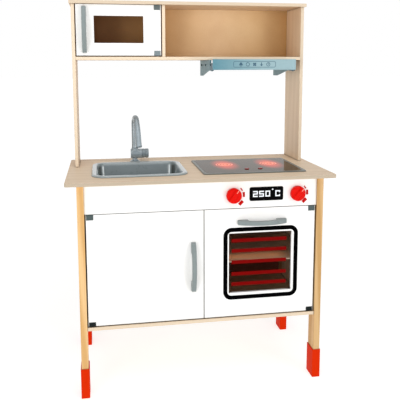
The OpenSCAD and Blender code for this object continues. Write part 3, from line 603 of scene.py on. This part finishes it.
BOARDS = {  # node: (grain axis, axis square to the broad faces, seed)
    "worktop": ("X", "Z", 1), "base_board": ("X", "Z", 2), "top_board": ("X", "Z", 3),
    "upper_shelf": ("X", "Z", 4), "oven_shelf": ("X", "Z", 5),
    "side_panel_left": ("Z", "X", 6), "side_panel_right": ("Z", "X", 7),
    "upper_panel_left": ("Z", "X", 8), "upper_panel_right": ("Z", "X", 9),
    "upper_divider": ("Z", "X", 10), "cabinet_divider": ("Z", "X", 11),
}
# painted shade on some boards' edges and painted light on some boards' faces, as shares towards black and
# towards pale birch
EDGE_SHADE = {"worktop": 0.45, "upper_panel_right": 0.2, "top_board": 0.2, "base_board": 0.12}
PAINTED_LIGHT_FACES = {"worktop": 0.38, "upper_panel_right": 0.3}
LEGS = ["leg_front_left", "leg_front_right", "leg_back_left", "leg_back_right"]
FEET = [name.replace("leg", "foot") for name in LEGS]
DOORS = ["control_panel", "cupboard_door", "oven_door", "microwave_door"]

for name, (grain, face, seed) in BOARDS.items():
    edge = mix_tone(BIRCH_EDGE, BLACK, EDGE_SHADE.get(name, 0.0))
    light, dark = (mix_tone(c, BIRCH_PAINTED_LIGHT, PAINTED_LIGHT_FACES.get(name, 0.0)) for c in (BIRCH_LIGHT, BIRCH_DARK))
    paint([name], wood("birch_" + name, grain, face, light, dark, edge, seed))
    soften_edges(name, 0.6 * MM, flat=True)
for seed, name in enumerate(LEGS):
    # the right legs are painted darker, as painted shade
    shade = 0.2 if "right" in name else 0.0
    light, dark = (mix_tone(c, BLACK, shade) for c in (PINE_LIGHT, PINE_DARK))
    paint([name], wood("pine_" + name, "Z", "Y", light, dark, None, 20 + seed, rings=0.6))
    soften_edges(name, 1.0 * MM, 3, flat=True)
divider_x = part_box("upper_divider")[0].x
UPPER_PAINTED_LIGHT = [  # (X along the back board, colour of painted light and shade that multiplies it there)
    (-0.31, (0.58, 0.32, 0.16, 1)), (-0.2, (0.8, 0.56, 0.34, 1)), (divider_x - 0.01, (0.92, 0.72, 0.44, 1)),
    (divider_x, (0.75, 0.67, 0.52, 1)), (0.1, (0.92, 0.95, 0.98, 1)), (0.2, (0.84, 0.84, 0.78, 1)),
    (0.32, (0.6, 0.5, 0.34, 1))]
# both back boards' front faces are darkened with painted shade; the upper one also gets painted light and
# shade along X
paint(["upper_back"], fibre_board(
    "fibre_upper", BOARD_BROWN, BOARD_BROWN_DARK, BOARD_SHADE, divider_x, UPPER_PAINTED_LIGHT))
paint(["cabinet_back"], fibre_board("fibre_lower", BOARD_BROWN, BOARD_BROWN_DARK, BOARD_RED_SHADE))
white = lacquer("white_lacquer", WHITE)
paint(DOORS, white)
for name in DOORS:
    soften_edges(name, 0.7 * MM, flat=True)

# ---- Plastic, print and metal on the CAD pieces ------------------------------------

orange = plastic("orange_plastic", ORANGE_RED, rough=0.42, specular=0.02, worn=tone(228, 60, 20))
paint(FEET, orange)
for name in FEET:
    soften_edges(name, 0.5 * MM)
# painted shade: the lower clips are painted black, fading to a painted lit grey on the upper clips; that grey
# also colours their rubbed edges
dark_clip = plastic("dark_clip_plastic", CLIP_SHADED_BLACK, rough=0.4, specular=0.03, worn=CLIP_LIT_AND_RUBBED,
                    fade=(CLIP_LIT_AND_RUBBED, "Z", 0.2, 0.42))
paint(["cupboard_hinge_clips", "oven_hinge_clips"], dark_clip)
# painted shade: the microwave's top clip is painted darker than its bottom one
grey_clip = plastic("grey_clip_plastic", CLIP_GREY, rough=0.4, fade=(CLIP_TOP_SHADE, "Z", 0.91, 1.0))
paint(["microwave_hinge_clips"], grey_clip)
for name in ["cupboard_hinge_clips", "oven_hinge_clips", "microwave_hinge_clips"]:
    soften_edges(name, 0.35 * MM)
hood_mat = plastic("hood_plastic", HOOD_BLUE, rough=0.32, vary=0.04, fade=(HOOD_PALE, "X", 0.05, 0.19))
paint(["hood_front"], hood_mat)
soften_edges("hood_front", 0.9 * MM, 3)
# painted shade: the brackets darken to teal towards their front, and darken in their slots and other narrow
# recesses
bracket_mat = plastic("bracket_plastic", BRACKET_GREY, rough=0.42, shade_in_recesses=0.9,
                      fade=(BRACKET_FRONT_SHADE, "Y", 0.014, 0.004))
paint(["hood_brackets"], bracket_mat)
soften_edges("hood_brackets", 0.4 * MM)
display_mat = plastic("display_black", PRINT_BLACK, rough=0.3, vary=0.3, specular=0.02, worn=tone(12, 12, 14))
paint(["display_plate"], display_mat)
soften_edges("display_plate", 0.25 * MM)
# the printed digits get a faint painted glow
paint(["display_digits"], ink("digit_white", DIGIT_WHITE, glow=0.15))
paint(["heat_marks"], ink("red_ink", PRINT_RED, specular=0.05))
paint(["oven_pane_stripes"], ink("stripe_ink", STRIPE_RED, specular=0.02))
paint(["oven_frame_print"], ink("black_ink", PRINT_BLACK, rough=0.3, specular=0.0))
paint(["oven_pane"], tinted_pane("brown_pane"))
screws = zinc("zinc_screws")
paint(["frame_screws", "knob_screw_left", "knob_screw_right", "cupboard_door_screws", "oven_door_screws",
       "microwave_door_screws"], screws)
# painted shade: the spout darkens towards its top
tap_mat = plastic("tap_plastic", TAP_GREY, rough=0.26, vary=0.1, specular=0.5, coat=0.6,
                  fade=(TAP_TOP_SHADE, "Z", 0.67, 0.705))
# painted shade: the lever is a darker copy of the tap's grey
lever_mat = plastic("tap_lever_plastic", TAP_LEVER_SHADE, rough=0.3, vary=0.1, specular=0.5, coat=0.4)
paint(["tap_nut"], tap_mat)
paint(["hob_tray", "battery_cover"], plastic("hob_rim_plastic", RIM_GREY, rough=0.34))
soften_edges("hob_tray", 0.7 * MM, 3)
paint(["light_board"], plastic("circuit_green", tone(24, 92, 50), rough=0.45, vary=0.25))
paint(["batteries"], plastic("cell_sleeve", tone(70, 84, 104), rough=0.3, coat=0.3))
button_red = plastic("button_red", tone(140, 6, 10), rough=0.3, specular=0.3)
paint(["hob_button_left", "hob_button_right"], button_red)
for name in ["hob_button_left", "hob_button_right"]:
    soften_edges(name, 0.9 * MM, 3)


# ---- Handles -----------------------------------------------------------------------

def bow_handle(name, door, mat):
    """A bow from pad to pad with sloping sides, as slices along its length in the handle's own CAD box."""
    low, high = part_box(name)
    upright = high.z - low.z > high.x - low.x
    length = (high.z - low.z) if upright else (high.x - low.x)
    width = (high.x - low.x) if upright else (high.z - low.z)
    height = high.y - low.y
    half, end_height, thick, pad, corner = length / 2, 9 * MM, 7.5 * MM, 27.5 * MM, 1.6 * MM
    lift, step = half - pad, 0.7 * MM
    rise = height - end_height
    outer = (half * half + rise * rise) / (2 * rise)
    centre = height - outer
    stops = []
    for i in range(41):
        stops.append(half * math.sin(math.pi / 2 * (i / 40 * 2 - 1)))
    stops += [s * (lift + step * math.cos(math.pi * k / 6)) for k in range(7) for s in (-1, 1)]
    stops += [s * (half - corner * (1 - math.sin(math.pi / 12 * k))) for k in range(7) for s in (-1, 1)]
    stops = sorted(set(round(s, 6) for s in stops))
    rings = []
    for s in stops:
        top = math.sqrt(outer * outer - s * s) + centre
        end = max(0.0, (abs(s) - (half - corner)) / corner)
        across = width - 2 * corner * (1 - math.sqrt(max(0.0, 1 - end * end)))
        top -= 1.4 * MM * end ** 3
        bottom = 0.0
        if abs(s) < lift + step:
            inner = math.sqrt((outer - thick) ** 2 - s * s) + centre
            bottom = inner * math.sin(math.pi / 2 * min(1.0, (lift + step - abs(s)) / (2 * step)))
        ring = []
        band = across - 2.0 * MM
        section = [(-across / 2, bottom), (across / 2, bottom), (band / 2, top), (-band / 2, top)]
        for u, v in soft_loop(section, 0.9 * MM, 4):
            y = high.y - v
            if upright:
                ring.append(((low.x + high.x) / 2 + u, y, (low.z + high.z) / 2 + s))
            else:
                ring.append(((low.x + high.x) / 2 + s, y, (low.z + high.z) / 2 + u))
        rings.append(ring)
    verts, faces = loft(rings)
    piece(name + "_bow", verts, faces, mat, door, (name,), 50.0)


handle_mat = plastic("handle_plastic", HANDLE_GREY, rough=0.32)
for name in ["cupboard", "oven", "microwave"]:
    bow_handle(name + "_handle", name + "_door", handle_mat)


# ---- Knobs -------------------------------------------------------------------------

def grip_knob(name, body, turn, mat):
    """Disc with a rounded grip bar across it and a painted line on the bar's end."""
    low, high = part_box(name)
    centre = Vector(((low.x + high.x) / 2, high.y, (low.z + high.z) / 2))
    radius = (high.x - low.x) / 2
    height = high.y - low.y
    disc = 13 * MM
    skirt = filleted([(0, 0), (radius, 0), (radius, disc - 2 * MM), (radius - 2.2 * MM, disc),
                      (0, disc + 0.2 * MM)], 1.4 * MM)
    slices = []
    bar = radius - 1.2 * MM
    for i in range(25):
        s = bar * math.sin(math.pi / 2 * (i / 12 - 1))
        across = 12.5 * MM * (1 - 0.5 * (abs(s) / bar) ** 6)
        top = height - 1.2 * MM * (abs(s) / bar) ** 4
        slices.append([(s, u, top / 2 + v) for u, v in round_ring(across, top, 3.0 * MM, 5)])
    line_start, line_end = bar - 9 * MM, bar - 0.5 * MM
    to_panel = Matrix.Translation(centre) @ Matrix.Rotation(math.radians(90), 4, "X")
    spin = Matrix.Rotation(math.radians(turn), 4, "Z")
    parts = [moved(turned(skirt), to_panel), moved(loft(slices), to_panel @ spin)]
    moulded(name + "_grip", parts, mat, body, (name,), 0.45 * MM, 5)
    line = []
    for i in range(13):
        s = line_start + (line_end - line_start) * i / 12
        outline = round_ring(1.6 * MM, 0.5 * MM, 0.2 * MM, 2)
        line.append([(s, u, height - 0.15 * MM + v) for u, v in outline])
    verts, faces = moved(loft(line), to_panel @ spin)
    piece(name + "_pointer", verts, faces, pointer_mat, body)


knob_mat = plastic("knob_plastic", KNOB_RED, rough=0.35, vary=0.12, specular=0.06, worn=tone(240, 50, 30))
pointer_mat = plastic("pointer_paint", tone(255, 165, 145), rough=0.4)
grip_knob("knob_left", "knob_left", 57.0, knob_mat)
grip_knob("knob_right", "knob_right", 48.0, knob_mat)


# ---- Sink --------------------------------------------------------------------------

def sink(mat):
    """Drop-in basin with a rolled rim, drafted walls and a round-cornered floor."""
    low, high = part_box("sink_basin")
    mid = (low + high) / 2
    width, depth = high.x - low.x, high.y - low.y
    top, rest, floor = high.z, high.z - 5 * MM, low.z
    rim, wall, corner = 15 * MM, 2.2 * MM, 38 * MM
    inner = rim + wall
    outline = [  # (inset from the outer edge, height)
        (rim + 55 * MM, floor), (rim + 12 * MM, floor), (rim + 6 * MM, floor + 2 * MM),
        (rim + 2.5 * MM, floor + 8 * MM), (rim + 0.4 * MM, rest - 4 * MM),
        (rim - 0.1 * MM, rest - 1.2 * MM),
        (rim - 1.3 * MM, rest), (0.4 * MM, rest), (0.0, rest + 0.5 * MM), (0.3 * MM, rest + 1.8 * MM),
        (1.1 * MM, top - 1.3 * MM), (2.5 * MM, top - 0.3 * MM), (4.2 * MM, top), (7.5 * MM, top - 0.1 * MM),
        (10.6 * MM, top - 0.3 * MM), (12.2 * MM, top - 1.0 * MM), (13.2 * MM, top - 2.3 * MM),
        (14.1 * MM, top - 4.0 * MM), (15.6 * MM, rest - 1.5 * MM), (inner, rest - 5 * MM),
        (inner + 3 * MM, floor + 16 * MM), (inner + 5 * MM, floor + 8 * MM),
        (inner + 8.6 * MM, floor + 4.2 * MM),
        (inner + 14 * MM, floor + wall + 0.4 * MM), (inner + 48 * MM, floor + wall)]
    rings = []
    for inset, z in outline:
        w, d = width - 2 * inset, depth - 2 * inset
        outer = round_ring(w, d, max(corner - inset, 12 * MM), 12)
        rings.append([(mid.x + x, mid.y + y, z) for x, y in outer])
    drain = 16 * MM
    drain_steps = [(drain + 2 * MM, floor + wall), (drain, floor + wall - 0.3 * MM),
                   (drain - 1 * MM, floor + 1.2 * MM)]
    for r, z in drain_steps:
        rings.append([(mid.x + x, mid.y + y, z) for x, y in round_ring(2 * r, 2 * r, r, 12)])
    verts, faces = loft(rings)
    piece("sink_bowl", verts, faces, mat, "sink", ("sink_basin",), 60.0)


BOWL_START, BOWL_FULL = 0.572, 0.566  # Z where the bowl's own colours start and are complete
RIM_START, RIM_FULL = 0.573, 0.577  # Z where the rim's painted lighter colour starts and is complete
GLINT_NORMAL = 0.37  # sideways part of the normal in the middle of the painted glints


def sink_plastic(name):
    """Glossy grey plastic, painted paler on the rim as painted light, with painted shade on the bowl's side
    walls and painted glints in its back corners.
    """
    # painted light: the rim is painted paler than the bowl
    mat = plastic(name, SINK_GREY, rough=0.3, vary=0.08, coat=0.9, worn=tone(186, 194, 196),
                  fade=(SINK_RIM_LIT, "Z", RIM_START, RIM_FULL))
    tree = mat.node_tree
    shader = tree.nodes["Principled BSDF"]
    base = shader.inputs["Base Color"].links[0].from_socket
    height = component(tree, object_coords(tree), "Z")
    inside = map_range(tree, height, BOWL_START, BOWL_FULL, 0.0, 1.0)
    # painted shade on the bowl's side walls
    sideways = maths(tree, "ABSOLUTE", normal_component(tree, "X"))
    wall = map_range(tree, sideways, 0.5, 0.8, 0.0, 1.0)
    base = mix(tree, maths(tree, "MULTIPLY", wall, inside), base, SINK_WALL_SHADE)
    # painted glints in the bowl's back corners
    off_glint = maths(tree, "ABSOLUTE", maths(tree, "SUBTRACT", sideways, GLINT_NORMAL))
    painted_glint = map_range(tree, off_glint, 0.14, 0.07, 0.0, 1.0)
    at_back = maths(tree, "LESS_THAN", normal_component(tree, "Y"), -0.5)
    painted_glint = maths(tree, "MULTIPLY", painted_glint, at_back)
    base = mix(tree, maths(tree, "MULTIPLY", painted_glint, inside), base, SINK_GLINT)
    feed(tree, shader, "Base Color", base)
    return mat


sink(sink_plastic("sink_plastic"))


# ---- Tap ---------------------------------------------------------------------------

def tap(mat, lever_mat):
    """Body with its flange and barrel, ribbed lever knob and swan-neck spout."""
    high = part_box("tap_body")[1]
    lever_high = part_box("tap_lever")[1]
    joint = {j["name"]: j for j in frame["joints"]}
    pivot = Vector(joint["tap_spout_swivel"]["pos_m"])
    axis_z = joint["tap_lever_turn"]["pos_m"][2]
    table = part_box("worktop")[1].z
    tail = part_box("tap_nut")[0].z - 5 * MM
    post = filleted([(0, tail), (8 * MM, tail), (8 * MM, table), (15 * MM, table),
                     (15 * MM, table + 1.8 * MM), (13.4 * MM, table + 2.4 * MM),
                     (8.4 * MM, table + 5.4 * MM), (7.5 * MM, table + 8 * MM),
                     (7.5 * MM, axis_z), (0, axis_z)], 1.0 * MM)
    collar_top = pivot.z - 0.7 * MM
    collar = filleted([(0, axis_z), (10 * MM, axis_z), (9.6 * MM, collar_top), (0, collar_top)], 0.8 * MM)
    barrel_start = pivot.x - 12.5 * MM
    barrel_l = high.x - barrel_start
    barrel = filleted([(0, 0), (14.3 * MM, 0), (14.3 * MM, barrel_l), (0, barrel_l)], 1.6 * MM)
    upright = Matrix.Translation((pivot.x, pivot.y, 0))
    to_side = Matrix.Rotation(math.radians(90), 4, "Y")
    sideways = Matrix.Translation((barrel_start, pivot.y, axis_z)) @ to_side
    parts = [moved(turned(post), upright), moved(turned(collar), upright), moved(turned(barrel), sideways)]
    moulded("tap_base", parts, mat, "frame", ("tap_body",), 0.5 * MM, 6)

    lever_l = lever_high.x - high.x - 0.3 * MM
    grip = [(0, 0), (14.0 * MM, 0), (14.0 * MM, 7.6 * MM), (12.6 * MM, 8.2 * MM), (12.6 * MM, 9.6 * MM),
            (14.0 * MM, 10.2 * MM), (13.8 * MM, lever_l - 1.0 * MM), (12.4 * MM, lever_l),
            (6 * MM, lever_l - 0.4 * MM), (0, lever_l - 0.4 * MM)]
    rings = []
    for r, h in filleted(grip, 0.5 * MM, 3):
        ribbed = r > 12.8 * MM and h > 10.5 * MM
        ring = []
        for i in range(144):
            a = 2 * math.pi * i / 144
            dip = 0.45 * MM * max(0.0, math.cos(24 * a)) if ribbed else 0.0
            ring.append((max(r - dip, 1e-6) * math.cos(a), max(r - dip, 1e-6) * math.sin(a), h))
        rings.append(ring)
    place = Matrix.Translation((high.x + 0.3 * MM, pivot.y, axis_z)) @ to_side
    verts, faces = moved(loft(rings), place)
    piece("tap_turn_knob", verts, faces, lever_mat, "tap_lever", ("tap_lever",), 40.0)

    tube, bend, lean = 8.6 * MM, 18.5 * MM, 122 * MM
    bend_end, lean_end = math.radians(137), math.radians(159)
    base = pivot.z - 0.4 * MM
    bend_mid = Vector((bend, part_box("tap_spout")[1].z - tube - bend))
    lean_mid = bend_mid + (bend - lean) * Vector((-math.cos(bend_end), math.sin(bend_end)))
    path = []  # (point as forward reach and height, direction from straight up, radius)
    ring = filleted([(0.1 * MM, base), (9.3 * MM, base), (9.3 * MM, base + 1.8 * MM),
                     (tube, base + 2.2 * MM), (tube, base + 8 * MM)], 0.5 * MM, 3)
    path += [(Vector((0, z)), 0.0, r) for r, z in ring]
    for i in range(37):
        a = bend_end * i / 36
        path.append((bend_mid + bend * Vector((-math.cos(a), math.sin(a))), a, tube))
    for i in range(1, 9):
        a = bend_end + (lean_end - bend_end) * i / 8
        path.append((lean_mid + lean * Vector((-math.cos(a), math.sin(a))), a, tube))
    start = path[-1][0]
    down = Vector((math.sin(lean_end), math.cos(lean_end)))
    outlet = filleted([(tube, 0), (tube, 31.6 * MM), (9.2 * MM, 32.2 * MM), (9.2 * MM, 37 * MM),
                       (6.8 * MM, 37 * MM), (6.6 * MM, 25 * MM), (0.1 * MM, 25 * MM)], 0.5 * MM, 3)
    path += [(start + down * along, lean_end, r) for r, along in outlet[1:]]
    rings = []
    for point, a, r in path:
        rings.append([(x, -(point.x - y * math.cos(a)), point.y + y * math.sin(a))
                      for x, y in circle_ring(r, 40)])
    swing = Matrix.Translation((pivot.x, pivot.y, 0)) @ Matrix.Rotation(math.radians(7), 4, "Z")
    verts, faces = moved(loft(rings), swing)
    piece("tap_gooseneck", verts, faces, mat, "tap_spout", ("tap_spout",), 50.0)


tap(tap_mat, lever_mat)


# ---- Hob ---------------------------------------------------------------------------

lights_low, lights_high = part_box("burner_lights")
glass_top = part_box("hob_glass")[1].z
burner_r = (lights_high.y - lights_low.y) / 2
burner_mid_y = (lights_low.y + lights_high.y) / 2
burner_xs = [lights_low.x + burner_r, lights_high.x - burner_r]
paint(["hob_glass"], hob_plate("hob_plate", [(x, burner_mid_y, glass_top) for x in burner_xs], burner_r))


def coil(name, x, mat, stands_for):
    """A flat spiral ribbon lying on the glass, narrower at its outer end, with a disc in the middle."""
    turns, steps, coil_top = 2.6, 150, glass_top + 0.2 * MM
    gap = (burner_r - 5 * MM) / turns
    left, right = [], []
    for i in range(steps + 1):
        t = i / steps
        a = 2 * math.pi * turns * t
        r = 5 * MM + gap * turns * t
        half = 0.31 * gap * (1 - 0.7 * t ** 8)
        for side, radius in ((left, r - half), (right, r + half)):
            side.append((x + radius * math.cos(a), burner_mid_y + radius * math.sin(a)))
    rings = []
    for (ax, ay), (bx, by) in zip(left, right):
        rings.append([(ax, ay, glass_top), (bx, by, glass_top), (bx, by, coil_top), (ax, ay, coil_top)])
    disc = filleted([(0, glass_top), (3 * MM, glass_top), (3 * MM, coil_top), (0, coil_top)], 0.05 * MM)
    core = moved(turned(disc, 32), Matrix.Translation((x, burner_mid_y, 0)))
    verts, faces = join([loft(rings), core])
    piece(name, verts, faces, mat, "frame", stands_for, 30.0)


coil_mat = burner_light("burner_glow")
coil("burner_coil_left", burner_xs[0], coil_mat, ("burner_lights",))
coil("burner_coil_right", burner_xs[1], coil_mat, ())


# ---- Hood print ----------------------------------------------------------------------

def round_loop(cx, cz, radius, steps=28):
    return [(cx + x, cz + z) for x, z in circle_ring(radius, steps)]


def bar_loop(cx, cz, width, height):
    corners = [(-1, -1), (1, -1), (1, 1), (-1, 1)]
    return [(cx + side * width / 2, cz + end * height / 2) for side, end in corners]


def hood_prints(mat):
    """A rounded outline with five plain symbols: lamp, ring, fan, arrow and clock."""
    low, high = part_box("hood_front")
    y = low.y
    middle = 0.497  # share of the hood's width to the left of the print's middle
    cx = low.x + middle * (high.x - low.x)
    cz = (low.z + high.z) / 2 + 0.5 * MM
    frame_w, frame_h, edge = 121 * MM, 17 * MM, 1.1 * MM
    outer = [(cx + x, cz + z) for x, z in round_ring(frame_w, frame_h, 5 * MM, 8)]
    inner = [(cx + x, cz + z) for x, z in round_ring(frame_w - 2 * edge, frame_h - 2 * edge, 4 * MM, 8)]
    t = 0.2 * MM
    flat_shape("hood_print_outline", [outer, inner], y, t, mat, "frame")
    step = 19.5 * MM
    xs = [cx + (i - 2) * step for i in range(5)]
    r, line = 5.5 * MM, 1.5 * MM

    def at(x, points):
        return [(x + u * MM, cz + v * MM) for u, v in points]

    shade = at(xs[0], [(-5.8, -2.6), (5.8, -2.6), (2.2, 5), (-2.2, 5)])
    bulb = bar_loop(xs[0], cz - 4.6 * MM, 4 * MM, 1.8 * MM)
    flat_shape("hood_print_lamp", [shade, bulb], y, t, mat, "frame")
    ring = [round_loop(xs[1], cz, r), round_loop(xs[1], cz, r - line)]
    flat_shape("hood_print_ring", ring, y, t, mat, "frame")
    blade = 3.3 * MM
    blades = [round_loop(xs[2] + blade * math.cos(a), cz + blade * math.sin(a), 2.2 * MM, steps=16)
              for a in [math.radians(45 + 90 * i) for i in range(4)]]
    flat_shape("hood_print_fan", blades + [round_loop(xs[2], cz, 1.1 * MM, steps=12)], y, t, mat, "frame")
    arrow = at(xs[3], [(-1.1, 5.2), (-1.1, -0.4), (-4.4, -0.4), (0, -5.4), (4.4, -0.4), (1.1, -0.4),
                       (1.1, 5.2)])
    flat_shape("hood_print_arrow", [arrow], y, t, mat, "frame")
    clock = [round_loop(xs[4], cz, r), round_loop(xs[4], cz, r - line),
             bar_loop(xs[4], cz + 1.4 * MM, 1.1 * MM, 3.8 * MM),
             bar_loop(xs[4] + 1.5 * MM, cz, 2.4 * MM, 1.1 * MM)]
    flat_shape("hood_print_clock", clock, y, t, mat, "frame")


hood_prints(ink("hood_ink", tone(66, 98, 116), rough=0.4))


# ---- Studio --------------------------------------------------------------------------

def studio():
    """A glowing white floor and sky with soft lights, and a warm lamp over the oven's shelf."""
    floor = bpy.data.meshes.new("floor")
    half = 40.0
    corners = [(-half, -half, 0), (half, -half, 0), (half, half, 0), (-half, half, 0)]
    floor.from_pydata(corners, [], [(0, 1, 2, 3)])
    plane = bpy.data.objects.new("floor", floor)
    scene.collection.objects.link(plane)
    mat, tree, shader = new_material("floor_white", Roughness=0.8, Specular_IOR_Level=0.0,
                                     Emission_Color=(1, 1, 1, 1))
    away = add(tree, "ShaderNodeVectorMath", {0: object_coords(tree)}, operation="LENGTH").outputs["Value"]
    near, far, glow_near, glow_far = 0.8, 3.0, 0.7, 0.84
    feed(tree, shader, "Emission Strength", map_range(tree, away, near, far, glow_near, glow_far))
    cloud = noise(tree, object_coords(tree), 1.5, 3.0)
    greys = [(0.3, (0.54, 0.54, 0.54, 1)), (0.7, (0.56, 0.56, 0.56, 1))]
    feed(tree, shader, "Base Color", ramp(tree, cloud, greys))
    floor.materials.append(mat)

    world = bpy.data.worlds.new("studio")
    world.use_nodes = True
    background = world.node_tree.nodes["Background"]
    background.inputs["Color"].default_value = (1, 1, 1, 1)
    sky = world.node_tree
    soft = add(sky, "ShaderNodeLightPath").outputs["Is Diffuse Ray"]
    held_back = 0.62  # share of the sky's light that does not reach matt surfaces
    strength = maths(sky, "SUBTRACT", 1.0, maths(sky, "MULTIPLY", soft, held_back))
    feed(sky, background, "Strength", strength)
    scene.world = world

    def softbox(name, place, target, size, power, colour=(1, 1, 1), fan=180):
        data = bpy.data.lights.new(name, "AREA")
        data.shape = "RECTANGLE"
        data.size, data.size_y = size
        data.energy = power
        data.color = colour
        data.spread = math.radians(fan)
        lamp = bpy.data.objects.new(name, data)
        lamp.location = place
        lamp.rotation_euler = (Vector(target) - Vector(place)).to_track_quat("-Z", "Y").to_euler()
        scene.collection.objects.link(lamp)

    softbox("left", (-1.9, -2.75, 0.75), (0, 0, 0.55), (0.9, 1.4), 22)
    softbox("right", (1.9, -2.75, 0.75), (0, 0, 0.55), (0.9, 1.4), 20)
    softbox("top", (0.0, -1.3, 3.1), (0, 0, 0.5), (2.4, 2.4), 31)
    softbox("oven", (0.13, -0.11, 0.4), (0.13, -0.11, 0.34), (0.2, 0.03), 0.01, (1.0, 0.4, 0.16), 60)
    softbox("front", (-0.42, -2.3, 1.15), (-0.15, 0, 0.6), (0.05, 1.3), 3)
    scene.view_settings.view_transform = "Standard"


def camera():
    """Placed and aimed as the photographer stood: in front, left of the middle, looking slightly down."""
    data = bpy.data.cameras.new("camera")
    data.sensor_width = 36.0
    data.lens = 51.927
    data.shift_x, data.shift_y = 0.0006, -0.14066
    data.clip_start, data.clip_end = 0.05, 200.0
    ahead = Vector((0.16518686, 0.97718547, -0.13349851)).normalized()
    up = Vector((0.02396215, 0.13134163, 0.99104752))
    right = ahead.cross(up).normalized()
    up = right.cross(ahead)
    lens = bpy.data.objects.new("camera", data)
    lens.matrix_world = Matrix((
        (right.x, up.x, -ahead.x, -0.253558),
        (right.y, up.y, -ahead.y, -1.594532),
        (right.z, up.z, -ahead.z, 0.855912),
        (0, 0, 0, 1)))
    scene.collection.objects.link(lens)
    scene.camera = lens


studio()
camera()
